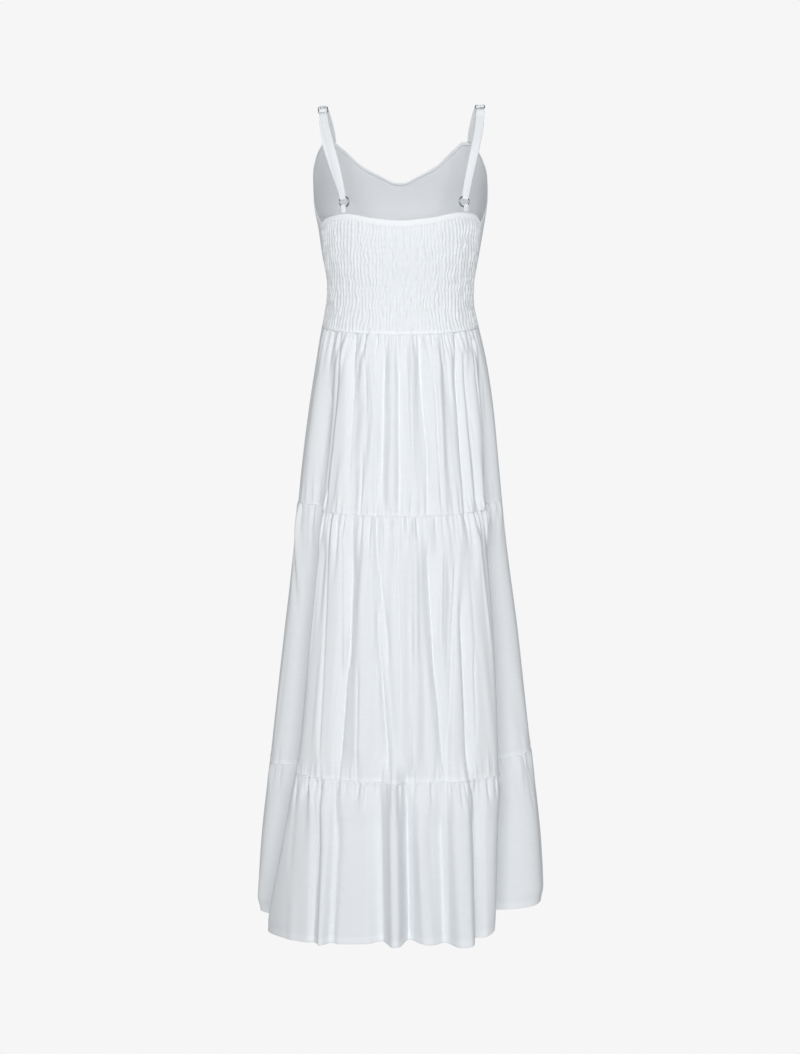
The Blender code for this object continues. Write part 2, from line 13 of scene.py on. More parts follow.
import bpy
import numpy as np
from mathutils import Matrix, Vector


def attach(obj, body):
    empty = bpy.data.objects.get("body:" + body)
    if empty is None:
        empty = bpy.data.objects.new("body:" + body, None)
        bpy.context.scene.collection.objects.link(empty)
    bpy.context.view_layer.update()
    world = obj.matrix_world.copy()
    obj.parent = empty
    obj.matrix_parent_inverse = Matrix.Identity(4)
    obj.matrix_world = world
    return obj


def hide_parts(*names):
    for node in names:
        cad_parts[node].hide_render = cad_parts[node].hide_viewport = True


MM = 0.001
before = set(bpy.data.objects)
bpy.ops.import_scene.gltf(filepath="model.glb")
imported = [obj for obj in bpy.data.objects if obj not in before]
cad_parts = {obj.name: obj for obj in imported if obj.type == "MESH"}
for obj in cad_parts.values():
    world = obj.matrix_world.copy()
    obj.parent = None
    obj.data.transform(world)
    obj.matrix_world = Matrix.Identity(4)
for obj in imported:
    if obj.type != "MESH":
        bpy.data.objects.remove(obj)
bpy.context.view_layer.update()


def table(names, *rows):
    """A short table, with one array for each named column."""
    return types.SimpleNamespace(**dict(zip(names.split(), np.array(rows, float).T)))


def add(tree, kind, **settings):
    """A node with its settings and, by their names, its inputs."""
    node = tree.nodes.new(kind)
    for name, value in settings.items():
        if name in node.inputs:
            node.inputs[name].default_value = value
        else:
            setattr(node, name, value)
    return node


def link_up(tree, *links):
    """Links, each given as a node and its output, then a node and its input."""
    for start, out, end, into in links:
        tree.links.new(start.outputs[out], end.inputs[into])


def show(name, data):
    """A new object in the scene."""
    thing = bpy.data.objects.new(name, data)
    bpy.context.scene.collection.objects.link(thing)
    return thing


# %% [markdown]
# ## The form under the cloth
#
# A dressmaker describes a figure by girths at a few heights. Here a section at each drop below the shoulders
# has a half width to each side, a depth to the back and to the front, and a squareness for its corners. A
# smooth curve runs between the rows, so a few numbers give the whole body. Sculpting the form by hand would
# also work, but every later piece could not then be placed by a drop and a turn.

# %% Sections and seams
WAIST, TOP_SEAM, MIDDLE_SEAM, HEM = 352, 635, 1055, 1316
SECTIONS = table(
    "drop left right back front middle square",
    (40, 156, 156, 70, 68, 0, 2.2),
    (70, 150, 150, 82, 82, 0, 2.2),
    (97, 144, 145, 90, 98, 0, 2.2),
    (125, 139, 141, 97, 110, 0, 2.2),
    (162, 136, 138, 102, 122, 0, 2.2),
    (194, 130, 133, 103, 126, 0, 2.2),
    (236, 124, 126, 99, 120, 0, 2.2),
    (285, 116, 118, 92, 106, 0, 2.2),
    (318, 117, 118, 91, 100, 0, 2.2),
    (352, 124, 125, 95, 98, 0, 2.2),
    (405, 133, 137, 110, 104, -5, 2.25),
    (475, 144, 148, 126, 112, -12, 2.3),
    (585, 158, 159, 152, 124, -20, 2.35),
    (700, 169, 170, 172, 136, -20, 2.4),
    (850, 187, 189, 190, 150, -20, 2.45),
    (1034, 208, 209, 208, 164, -20, 2.5),
    (1188, 225, 227, 216, 172, -20, 2.5),
    (1316, 233, 235, 216, 178, -20, 2.5),
)
SIDE_SEAMS = table("drop turn", (140, 68), (182, 73), (265, 81), (352, 86), (480, 88), (1316, 90))


def smooth(at, places, values):
    """A curve through a table's values, with the slope at each row taken from its neighbours."""
    slopes = np.gradient(values, places)
    row = np.clip(np.searchsorted(places, at, side="right") - 1, 0, len(places) - 2)
    span = places[row + 1] - places[row]
    t = np.clip((at - places[row]) / span, 0, 1)
    rise = values[row + 1] - values[row]
    start = slopes[row] * span
    end = slopes[row + 1] * span
    return values[row] + t * (start + t * (3 * rise - 2 * start - end + t * (start + end - 2 * rise)))


def ease(t):
    """From 0 to 1 with level ends."""
    t = np.clip(t, 0, 1)
    return t * t * (3 - 2 * t)


def section(drop):
    """The plan sizes at a drop."""
    names = ("left", "right", "back", "front", "middle", "square")
    return types.SimpleNamespace(
        **{name: smooth(drop, SECTIONS.drop, getattr(SECTIONS, name)) for name in names}
    )


def place(turn, drop, out=0.0):
    """Points at a turn from the centre back, a drop, and a distance out from the smooth form."""
    size = section(drop)
    across = np.sin(turn)
    towards = np.cos(turn)
    half = np.where(across >= 0, size.left, size.right)
    depth = np.where(towards >= 0, size.back, size.front)
    power = size.square
    reach = (np.abs(across / half) ** power + np.abs(towards / depth) ** power) ** (-1 / power)
    x = reach * across
    y = reach * towards
    side_x = np.sign(x) * np.abs(x / half) ** (power - 1) / half
    side_y = np.sign(y) * np.abs(y / depth) ** (power - 1) / depth
    length = np.hypot(side_x, side_y)
    x = x + out * side_x / length
    y = y + size.middle + out * side_y / length
    return np.stack([x, y, -drop * np.ones_like(x)], axis=-1)


def turn_of(across, drop, front=False):
    """The turn from the centre back of a place across the back, or across the front."""
    size = section(drop)
    half = np.where(across >= 0, size.left, size.right)
    depth = size.front if front else size.back
    share = np.clip(np.abs(across) / half, 0, 0.999)
    towards = depth * (1 - share**size.square) ** (1 / size.square)
    turn = np.arctan2(across, towards)
    return math.pi - turn if front else turn


def side_turn(drop):
    """Turn of the side seams at a drop."""
    return np.radians(smooth(drop, SIDE_SEAMS.drop, SIDE_SEAMS.turn))


def girth(drop):
    """Length round the smooth form at a drop."""
    ring = place(np.linspace(0, 2 * math.pi, 361), np.full(361, float(drop)))
    return np.linalg.norm(np.diff(ring, axis=0), axis=1).sum()


for drop in (WAIST, TOP_SEAM, MIDDLE_SEAM, HEM):
    print(f"girth at a drop of {drop} mm: {girth(drop):.0f} mm")

# %% [markdown]
# ## Camera, floor and light
#
# A shop photograph of a white dress is lit softly from the camera's side, so the cloth facing us is almost
# white and the sides turn a cool grey. A large soft panel does that here, with weaker ones round the dress
# so that it can be judged from everywhere. The floor and the sky are one pale grey.

# %% Camera from behind, a little above
CAMERA_PLACE = Vector((0, 8.0, 0.831))
CAMERA_AIM = Vector((0, 0, -0.679))
LENS = 173.154


def look_at(thing, stand, aim):
    """Puts a camera or a lamp at a place and turns it to its aim."""
    thing.location = stand
    thing.rotation_euler = (aim - stand).to_track_quat("-Z", "Y").to_euler()


camera_data = bpy.data.cameras.new("camera")
camera_data.sensor_width = 36
camera_data.lens = LENS
camera = show("camera", camera_data)
look_at(camera, CAMERA_PLACE, CAMERA_AIM)
bpy.context.scene.camera = camera
bpy.context.scene.view_settings.view_transform = "Standard"
print("camera", round((CAMERA_AIM - CAMERA_PLACE).length, 2), "m from the dress")

# %% Pale floor, sky and soft panels
GROUND = (0.922, 0.922, 0.922)
LIGHT_TINT = (0.965, 0.99, 1.015)
SKY_LIGHT = 0.25
FLOOR_LIGHT = 0.52
FLOOR_DROP = 1750
FLOOR_SIDE = 80
PANELS = table(
    "x y z aim_z side watts",
    (0.0, 4.6, 1.35, -0.6, 2.4, 161),
    (-5.5, 0.0, 0.2, -0.7, 2.5, 3),
    (5.5, 0.0, 0.2, -0.7, 2.5, 3),
    (0.5, -6.0, 1.0, -0.7, 3.0, 120),
)


def pale_light(tree, output, seen, given):
    """A glow that the camera sees as one plain grey, and that lights the dress with another strength."""
    kind = "ShaderNodeBackground" if output.bl_idname == "ShaderNodeOutputWorld" else "ShaderNodeEmission"
    shown = add(tree, kind, Color=(*seen, 1))
    lit = add(tree, kind, Color=(*LIGHT_TINT, 1), Strength=given)
    path = add(tree, "ShaderNodeLightPath")
    mix = add(tree, "ShaderNodeMixShader")
    link_up(tree, (path, "Is Camera Ray", mix, 0), (lit, 0, mix, 1), (shown, 0, mix, 2), (mix, 0, output, "Surface"))


world = bpy.data.worlds.new("pale_sky")
bpy.context.scene.world = world
world.use_nodes = True
pale_light(world.node_tree, world.node_tree.nodes["World Output"], GROUND, SKY_LIGHT)

floor_mesh = bpy.data.meshes.new("floor")
corners = [(x * FLOOR_SIDE, y * FLOOR_SIDE, -FLOOR_DROP * MM) for x, y in ((-1, -1), (1, -1), (1, 1), (-1, 1))]
floor_mesh.from_pydata(corners, [], [(0, 1, 2, 3)])
floor = show("floor", floor_mesh)
floor_finish = bpy.data.materials.new("pale_floor")
floor_finish.use_nodes = True
floor_finish.node_tree.nodes.remove(floor_finish.node_tree.nodes["Principled BSDF"])
pale_light(floor_finish.node_tree, floor_finish.node_tree.nodes["Material Output"], GROUND, FLOOR_LIGHT)
floor_mesh.materials.append(floor_finish)

for number in range(len(PANELS.x)):
    panel = bpy.data.lights.new(f"panel_{number}", "AREA")
    panel.size = PANELS.side[number]
    panel.energy = PANELS.watts[number]
    lamp = show(f"panel_{number}", panel)
    stand = Vector((PANELS.x[number], PANELS.y[number], PANELS.z[number]))
    look_at(lamp, stand, Vector((0, 0, PANELS.aim_z[number])))
    lamp.visible_camera = False
print("soft panels:", len(PANELS.x))

# %% [markdown]
# ## Finishes
#
# The cloth is a light plain weave. Its threads are too fine to model, so they are a bump that follows the
# piece's own UV map, which holds the cut's real sizes in metres: the weave then bends with each fold, as on
# a real dress. Broader, fainter unevenness keeps the white from looking like plastic. The metal is polished,
# with fine scratches.

# %% Cloth and metal materials
CLOTH_WHITE = (0.860, 0.882, 0.902)
STRAP_WHITE = (0.885, 0.905, 0.922)
THREAD_WHITE = (0.84, 0.865, 0.9)
STEEL = (0.34, 0.34, 0.36)
THREADS_A_METRE = 1700
WEAVE_DEPTH = 0.00004
SLUBS_A_METRE = 260
RUMPLES_A_METRE = 38
RUMPLE_DEPTH = 0.0006
SCRATCHES_A_METRE = 2400
# Less light passes through two layers, so seams and hems look whiter
DOUBLE_WHITER = 1.07


def new_finish(name, colour, roughness, metallic=0.0):
    """A Principled material and its tree."""
    finish = bpy.data.materials.new(name)
    finish.use_nodes = True
    surface = finish.node_tree.nodes["Principled BSDF"]
    surface.inputs["Base Color"].default_value = (*colour, 1)
    surface.inputs["Roughness"].default_value = roughness
    surface.inputs["Metallic"].default_value = metallic
    return finish, finish.node_tree, surface


def colour_socket(sockets, number=0):
    """A Mix node's colour socket, among those of all its kinds."""
    return [socket for socket in sockets if socket.type == "RGBA"][number]


def woven_finish(name, colour, rumple=1.0):
    """Plain woven cloth: crossing threads, faint slubs along the weft and soft unevenness."""
    finish, tree, surface = new_finish(name, colour, 0.86)
    surface.inputs["Specular IOR Level"].default_value = 0.25
    surface.inputs["Sheen Weight"].default_value = 0.12
    surface.inputs["Sheen Roughness"].default_value = 0.5
    cut = add(tree, "ShaderNodeUVMap", uv_map="cut")
    crossing = add(tree, "ShaderNodeMath", operation="MAXIMUM")
    for socket, way in enumerate("XY"):
        thread = add(tree, "ShaderNodeTexWave", bands_direction=way, Scale=THREADS_A_METRE / 20, Distortion=0.6)
        link_up(tree, (cut, "UV", thread, "Vector"), (thread, "Fac", crossing, socket))
    where = add(tree, "ShaderNodeTexCoord")
    rumples = add(tree, "ShaderNodeTexNoise", Scale=RUMPLES_A_METRE, Detail=3.0, Roughness=0.5)
    soft = add(tree, "ShaderNodeBump", Strength=1.0, Distance=RUMPLE_DEPTH * rumple)
    threads = add(tree, "ShaderNodeBump", Strength=0.7, Distance=WEAVE_DEPTH)
    stretch = add(tree, "ShaderNodeMapping", Scale=(1.0, 7.0, 1.0))
    slubs = add(tree, "ShaderNodeTexNoise", Scale=SLUBS_A_METRE / 7, Detail=4.0, Roughness=0.6)
    tint = add(tree, "ShaderNodeMix", data_type="RGBA")
    doubled = add(tree, "ShaderNodeAttribute", attribute_name="double_cloth")
    whiter = add(tree, "ShaderNodeMix", data_type="RGBA")
    link_up(
        tree,
        (where, "Object", rumples, "Vector"),
        (rumples, "Fac", soft, "Height"),
        (crossing, 0, threads, "Height"),
        (soft, "Normal", threads, "Normal"),
        (threads, "Normal", surface, "Normal"),
        (cut, "UV", stretch, "Vector"),
        (stretch, "Vector", slubs, "Vector"),
        (slubs, "Fac", tint, 0),
        (doubled, "Fac", whiter, 0),
    )
    colour_socket(tint.inputs).default_value = (*[value * 0.965 for value in colour], 1)
    colour_socket(tint.inputs, 1).default_value = (*[min(value * 1.02, 1) for value in colour], 1)
    colour_socket(whiter.inputs, 1).default_value = (*[min(value * DOUBLE_WHITER, 1) for value in colour], 1)
    tree.links.new(colour_socket(tint.outputs), colour_socket(whiter.inputs))
    tree.links.new(colour_socket(whiter.outputs), surface.inputs["Base Color"])
    return finish


def metal_finish(name, colour):
    """Polished metal with fine scratches."""
    finish, tree, surface = new_finish(name, colour, 0.2, 1.0)
    where = add(tree, "ShaderNodeTexCoord")
    scratches = add(tree, "ShaderNodeTexNoise", Scale=SCRATCHES_A_METRE, Detail=4.0)
    level = add(tree, "ShaderNodeMapRange")
    level.inputs["To Min"].default_value = 0.16
    level.inputs["To Max"].default_value = 0.24
    link_up(
        tree,
        (where, "Object", scratches, "Vector"),
        (scratches, "Fac", level, "Value"),
        (level, "Result", surface, "Roughness"),
    )
    return finish


SKIRT_CLOTH = woven_finish("plain_weave", CLOTH_WHITE)
SHIRRED_CLOTH = woven_finish("shirred_plain_weave", CLOTH_WHITE, rumple=0.6)
STRAP_CLOTH = woven_finish("folded_strap_weave", STRAP_WHITE, rumple=0.3)
METAL = metal_finish("polished_metal", STEEL)
THREAD, thread_tree, thread_surface = new_finish("sewing_thread", THREAD_WHITE, 0.6)
twist = add(thread_tree, "ShaderNodeTexNoise", Scale=3000.0, Detail=2.0)
twist_bump = add(thread_tree, "ShaderNodeBump", Strength=0.5, Distance=0.00005)
link_up(thread_tree, (twist, "Fac", twist_bump, "Height"), (twist_bump, "Normal", thread_surface, "Normal"))
print("finishes:", [finish.name for finish in (SKIRT_CLOTH, SHIRRED_CLOTH, STRAP_CLOTH, METAL, THREAD)])

# %% [markdown]
# ## A sheet of cloth
#
# Every sewn panel is one sheet: a grid of points with the cloth's outside facing out, and a wall a fraction
# of a millimetre thick. The grid runs a little past each seam. There it turns to the inside and back on
# itself, as a pressed seam allowance does, so that edges look folded instead of cut with a knife.

# %% Sheets and turned edges
CLOTH_WALL = 0.4
# How far along from an edge the folded cloth lies, and how deep behind the outside
SIDE_TURNED = table("along depth", (7, 1.0), (1.2, 1.0), (0.2, 0.85), (-0.05, 0.45), (0.3, 0.1), (0.9, 0))
ROW_TURNED = table("along depth", (8, 1.7), (1.2, 1.7), (0.2, 1.4), (-0.05, 0.7), (0.35, 0.12), (1.1, 0))
HEM_TURNED = table("along depth", (12, 1.5), (6, 1.5), (1.2, 1.5), (0.2, 1.2), (-0.2, 0.6), (0.35, 0.1), (1.4, 0))
# The gathered edge's allowance goes up behind the piece above
GATHERED_EDGE = table("along depth", (-8, 2.4), (-2, 2.4), (-0.2, 2.0), (0.15, 1.0), (0.3, 0.3), (0.8, -0.1))


def new_piece(name, points, faces, marks, finish):
    """A smooth piece from its points, its faces and, for each face's corners, their places on the cut."""
    mesh = bpy.data.meshes.new(name)
    mesh.from_pydata((points.reshape(-1, 3) * MM).tolist(), [], faces)
    mesh.uv_layers.new(name="cut").data.foreach_set("uv", (marks * MM).ravel())
    mesh.materials.append(finish)
    mesh.shade_smooth()
    return show(name, mesh)


def cut_grid(across, down):
    """Places on the flat cut, from how far across and how far down each point lies."""
    return np.stack(np.broadcast_arrays(across, down), -1)


def cloth_sheet(name, points, cut, finish, double, wall=CLOTH_WALL):
    """A thin wall of cloth through a grid of points. Its UV map holds the cut's own sizes in metres."""
    rows, columns = points.shape[:2]
    corner = np.arange(rows * columns).reshape(rows, columns)
    faces = np.stack([corner[:-1, :-1], corner[:-1, 1:], corner[1:, 1:], corner[1:, :-1]], -1).reshape(-1, 4)
    piece = new_piece(name, points, faces.tolist(), cut.reshape(-1, 2)[faces.reshape(-1)], finish)
    layers = piece.data.attributes.new(name="double_cloth", type="FLOAT", domain="POINT")
    layers.data.foreach_set("value", np.broadcast_to(double, (rows, columns)).ravel())
    thickness = piece.modifiers.new("cloth wall", "SOLIDIFY")
    thickness.thickness = wall * MM
    thickness.offset = -1
    return piece


def edge_rows(near, far, length, steps, crowd=1.0):
    """Stations along a panel from its first folded edge to its last, with how deep each lies."""
    inner = np.linspace(0, 1, steps + 1) ** crowd
    start = near.along[-1] if near is not None else 0.0
    end = length - (far.along[-1] if far is not None else 0.0)
    along = start + inner * (end - start)
    depth = np.zeros_like(along)
    if near is not None:
        along = np.concatenate([near.along[:-1], along])
        depth = np.concatenate([near.depth[:-1], depth])
    if far is not None:
        along = np.concatenate([along, length - far.along[-2::-1]])
        depth = np.concatenate([depth, far.depth[-2::-1]])
    return along, depth


def double_rows(away, width):
    """One where the cloth lies double beside an edge, falling to nothing past its width."""
    return 1 - ease((away - width + 1) / 2)


print("wall of the cloth:", CLOTH_WALL, "mm")

# %% [markdown]
# ## The skirt's main folds
#
# The back of the skirt stands away from the sides as one broad plate between two deep side hollows. Tubes
# and troughs run down it. A row of the table is one fold: where it starts and ends, its place across the
# back there, its width, and how far it stands out. Folds fade in and out softly and cross the seams, because
# seams join pieces that hang together.

# %% Tables of the main folds
SIDE_HOLLOWS = table(
    "drop left left_width left_depth right right_width right_depth",
    (352, 60, 44, 2, -70, 40, 2),
    (480, 59, 76, 19, -69, 62, 13),
    (635, 59, 104, 34, -66, 98, 30),
    (850, 61, 128, 48, -64, 134, 50),
    (1055, 62, 134, 54, -60, 152, 62),
    (1180, 66, 114, 46, -57, 164, 70),
    (1316, 73, 84, 32, -55, 172, 74),
)
FADE_ABOVE = 110
FADE_BELOW = 60
# Hanging cloth has broad round crests and narrow troughs
CREST_BREADTH = 1.7
SOFT_SHARPNESS = 1.3
TROUGH_SHARPNESS = 1.4
TROUGH_ROUND = 0.12
HOLLOW_SHARPNESS = 1.25
FOLD_COLUMNS = "start end across_start across_end width height_start height_end"
BACK_FOLDS = table(
    FOLD_COLUMNS,
    (420, 600, 71, 75, 36, -6, -5),
    (420, 520, 46, 41, 26, 4, 2),
    (430, 600, 25, 30, 28, -4, -3),
    (430, 600, 12, 13, 26, 4, 4),
    (430, 600, -1, 0, 22, -3, -3),
    (430, 560, -17, -20, 24, 4, 3),
    (430, 600, -33, -44, 26, -5, -4),
    (430, 600, -57, -66, 32, 5, 4),
    (430, 600, -91, -105, 30, -6, -6),
    (430, 600, -108, -124, 32, -5, -7),
    (740, 1000, 77, 97, 42, -7, -8),
    (740, 1000, 30, 18, 38, -6, -8),
    (740, 1000, 52, 60, 46, 4, 7),
    (740, 1000, -22, -20, 40, 6, 8),
    (740, 1000, -46, -68, 36, -7, -8),
    (760, 980, -82, -71, 34, -5, -4),
    (780, 1000, -99, -109, 36, -5, -7),
    (1160, 1316, 132, 136, 34, -6, -9),
    (1160, 1316, 117, 126, 38, 8, 14),
    (1160, 1316, 103, 113, 34, -7, -10),
    (1150, 1316, 33, 31, 50, -9, -15),
    (1090, 1316, 11, 8, 40, 18, 28),
    (1120, 1316, -13, -17, 40, -14, -22),
    (1160, 1316, -34, -46, 34, 6, 8),
    (1150, 1316, -66, -74, 36, -10, -14),
    (1120, 1316, -94, -100, 58, 19, 28),
    (1150, 1316, -122, -124, 36, -10, -13),
)
FRONT_FOLDS_A_TIER = 9
FRONT_FOLD_SEED = 11
FRONT_FOLD_WIDTHS = (36, 54)
FRONT_FOLD_HEIGHTS = ((-8, 8), (-12, 12), (-20, 20))
FRONT_FOLD_REACH = 0.86
FRONT_FOLD_SHIFT = 0.05
FRONT_FOLD_STRENGTH = (0.55, 1.0)
FRONT_FOLD_WIDENING = 0.2
FRONT_FOLD_START = 77
FRONT_FOLD_END = 20
FRONT_FOLD_EASE = 0.4
TIERS = table(
    "top bottom columns rows",
    (WAIST, TOP_SEAM, 470, 46),
    (TOP_SEAM, MIDDLE_SEAM, 520, 60),
    (MIDDLE_SEAM, HEM, 550, 46),
)
TIER_NAMES = ("top", "mid", "hem")
FRONT_COLUMNS = 0.6


def front_folds():
    """Uneven ridges and troughs for the front of each tier, in the columns of the back's table."""
    chance = np.random.default_rng(FRONT_FOLD_SEED)
    rows = []
    for tier, heights in enumerate(FRONT_FOLD_HEIGHTS):
        top = TIERS.top[tier]
        bottom = TIERS.bottom[tier]
        places = np.linspace(-FRONT_FOLD_REACH, FRONT_FOLD_REACH, FRONT_FOLDS_A_TIER)
        for number, share in enumerate(places):
            share = share + chance.uniform(-FRONT_FOLD_SHIFT, FRONT_FOLD_SHIFT)
            half_top = section(top).left
            half_bottom = section(bottom).left
            height = heights[number % 2] * chance.uniform(*FRONT_FOLD_STRENGTH)
            width = chance.uniform(*FRONT_FOLD_WIDTHS) * (1 + FRONT_FOLD_WIDENING * tier)
            start = top + FRONT_FOLD_START
            end = bottom - FRONT_FOLD_END
            rows.append(
                (start, end, share * half_top, share * half_bottom, width, FRONT_FOLD_EASE * height, height)
            )
    return table(FOLD_COLUMNS, *rows)


FRONT_FOLDS = front_folds()
print("main folds:", len(BACK_FOLDS.start), "at the back,", len(FRONT_FOLDS.start), "at the front")

# %% How far the main folds move the cloth


def fold_share(turn, drop, centre, width):
    """How far a place is from a fold's centre line, as a share of half its width."""
    point = place(centre, drop)
    reach = np.hypot(point[..., 0], point[..., 1] - section(drop).middle)
    away = (turn - centre + math.pi) % (2 * math.pi) - math.pi
    return np.clip(np.abs(away * reach) / (width / 2), 0, 1)


def bump(share):
    """A soft round ridge one high, falling to nothing at its edges."""
    return 0.5 + 0.5 * np.cos(math.pi * share)


def crest(share):
    """A ridge with a broad top."""
    return 1 - (1 - bump(share)) ** CREST_BREADTH


def soft_trough(share):
    """A trough a little narrower than a ridge."""
    return bump(share) ** SOFT_SHARPNESS


def trough(share):
    """A narrow trough with a nearly sharp bottom."""
    rounded = np.sqrt(share**2 + TROUGH_ROUND**2) - TROUGH_ROUND
    return (1 - rounded / (math.sqrt(1 + TROUGH_ROUND**2) - TROUGH_ROUND)) ** TROUGH_SHARPNESS


def hollow_height(turn, drop):
    """How far the deep side hollows move the cloth in."""
    height = np.zeros_like(turn + drop)
    for side in ("left", "right"):
        centre = np.radians(smooth(drop, SIDE_HOLLOWS.drop, getattr(SIDE_HOLLOWS, side)))
        width = smooth(drop, SIDE_HOLLOWS.drop, getattr(SIDE_HOLLOWS, side + "_width"))
        depth = smooth(drop, SIDE_HOLLOWS.drop, getattr(SIDE_HOLLOWS, side + "_depth"))
        height = height - depth * bump(fold_share(turn, drop, centre, width)) ** HOLLOW_SHARPNESS
    return height


def folds_height(folds, turn, drop, front, above, below, hollow):
    """How far a table's folds move the cloth out, with the shape of their troughs."""
    height = np.zeros_like(turn + drop)
    for row in range(len(folds.start)):
        start = folds.start[row]
        end = folds.end[row]
        along = np.clip((drop - start) / (end - start), 0, 1)
        across = folds.across_start[row] + along * (folds.across_end[row] - folds.across_start[row])
        tall = folds.height_start[row] + along * (folds.height_end[row] - folds.height_start[row])
        fade = (1 - ease((start - drop) / above)) * (1 - ease((drop - end) / below))
        shape = crest if folds.height_end[row] > 0 else hollow
        share = fold_share(turn, drop, turn_of(across, drop, front), folds.width[row])
        height = height + tall * fade * shape(share)
    return height


def main_folds(turn, drop):
    """The side hollows and the main folds of back and front together, as in the solids."""
    height = hollow_height(turn, drop)
    height = height + folds_height(BACK_FOLDS, turn, drop, False, FADE_ABOVE, FADE_BELOW, soft_trough)
    return height + folds_height(FRONT_FOLDS, turn, drop, True, FADE_ABOVE, FADE_BELOW, soft_trough)


print("deepest side hollow:", SIDE_HOLLOWS.right_depth.max(), "mm")

# %% [markdown]
# ## Creases and gathers
#
# Over the main folds lie narrow creases, each listed in a table, and the gathers: short ridges that leave a
# gathered seam close together and die out at different lengths. A gather is a ridge at a place along the
# seam. It gets wider and lower as it falls. Drawing lots for each ridge from a fixed seed, instead of using
# one wave, gives the crowded and empty stretches of real gathering.

# %% Narrow creases of the back
CREASE_ABOVE = 45
CREASE_BELOW = 45
CREASES = table(
    FOLD_COLUMNS,
    (370, 560, 71, 82, 9, -2.6, -3.2),
    (380, 600, 96, 118, 18, -4.5, -6),
    (480, 610, 122, 132, 10, -2.4, -3.2),
    (365, 455, 47, 42, 9, 2.4, 1.8),
    (372, 450, 55, 52, 8, -2.8, -2),
    (380, 590, 25, 29, 10, -2.6, -2.8),
    (385, 590, 14, 15, 22, 2.2, 2.0),
    (395, 615, 3, 1, 10, -2.2, -2.4),
    (370, 530, -15, -20, 10, 2.2, 2.0),
    (395, 560, -30, -45, 10, -2.5, -2.8),
    (540, 625, -44, -43, 10, -2.4, -2.4),
    (358, 600, -51, -64, 10, -2.8, -3.4),
    (365, 540, -58, -66, 14, 2.4, 2.4),
    (360, 620, -88, -104, 9, -3.2, -4),
    (400, 610, -102, -125, 10, -3.2, -3.8),
    (378, 560, -115, -139, 10, -2.8, -3.6),
    (560, 625, 60, 62, 8, -2.6, -2.8),
    (500, 600, 36, 40, 10, 1.8, 1.4),
    (700, 860, 86, 88, 12, 2.2, 2.6),
    (715, 850, 77, 80, 10, -3.4, -3.8),
    (850, 1040, 82, 98, 10, -3.6, -4),
    (660, 770, 38, 30, 9, -2.4, -2.4),
    (740, 840, 30, 18, 8, -3.0, -2.8),
    (800, 1040, 36, 17, 10, -3.6, -4.2),
    (820, 1040, 29, 9, 13, 2.6, 2.8),
    (650, 830, -24, -25, 13, 2.8, 2.8),
    (820, 1045, -17, -21, 10, -2.9, -3.2),
    (700, 870, -44, -54, 10, -2.9, -3.2),
    (860, 1040, -54, -71, 10, -3.0, -3.6),
    (740, 1030, -88, -76, 10, -3.8, -4.2),
    (800, 1030, -99, -109, 14, -4.2, -5),
    (880, 960, -118, -121, 9, -2.4, -2),
    (680, 1000, 112, 128, 9, -1.8, -2.4),
    (900, 1035, 66, 68, 8, -2.4, -2.6),
    (700, 900, 4, -2, 8, -2.6, -2.2),
    (720, 830, -66, -64, 9, 2.4, 1.8),
    (1075, 1310, 127, 131, 11, -4.2, -4.2),
    (1070, 1310, 103, 116, 11, -4.2, -5),
    (1085, 1300, -11, -14, 12, -5, -6),
    (1070, 1300, 21, 19, 10, -3.8, -3.8),
    (1075, 1290, -74, -80, 11, -5, -5.4),
    (1090, 1290, -118, -127, 12, -2.6, -3),
)
print("narrow creases:", len(CREASES.start))

# %% Gathers along a seam
GATHERS = table(
    "tier kind count width_low width_high long_low long_high height_low height_high",
    (0, 0, 60, 5, 10, 20, 90, 1.4, 3.4),
    (0, 0, 34, 8, 16, 60, 240, 2.0, 4.4),
    (1, 0, 80, 5, 10, 30, 130, 1.6, 3.8),
    (1, 0, 46, 8, 17, 80, 280, 2.2, 5.0),
    (2, 0, 84, 5, 11, 18, 80, 1.6, 4.0),
    (2, 0, 26, 12, 24, 50, 150, 1.8, 4.2),
    (0, 1, 84, 4, 9, 16, 80, 1.0, 2.8),
    (1, 1, 84, 5, 10, 14, 60, 1.0, 2.8),
    (0, 2, 46, 8, 18, 40, 110, 0.7, 2.0),
    (1, 2, 64, 9, 20, 50, 170, 0.9, 2.6),
    (2, 2, 26, 12, 26, 40, 110, 0.7, 1.8),
)
GATHER_WIDENING = 90
GATHER_LEAN = 0.05
GATHER_START = 7
SETTLED = 0.3
TROUGH_WIDTH = 0.8
GATHER_ASIDE = {False: 60, True: 110}
GATHER_SEED = {False: 5, True: 23}
CLUSTERS = 0.6
CLUSTER_WAVES = 3.1
GATHER_JITTER = 0.9
GATHER_LENGTHS = (1.3, 2.6)
FULL_SHARE = 0.25


def tier_width(tier):
    """How wide a tier's finished panel is, half way down."""
    return girth((TIERS.top[tier] + TIERS.bottom[tier]) / 2) / 2


def away_from_sides(tier, share, reach):
    """From nothing at a panel's side seams to one at a reach from them."""
    return ease(np.minimum(share, 1 - share) * tier_width(tier) / reach)


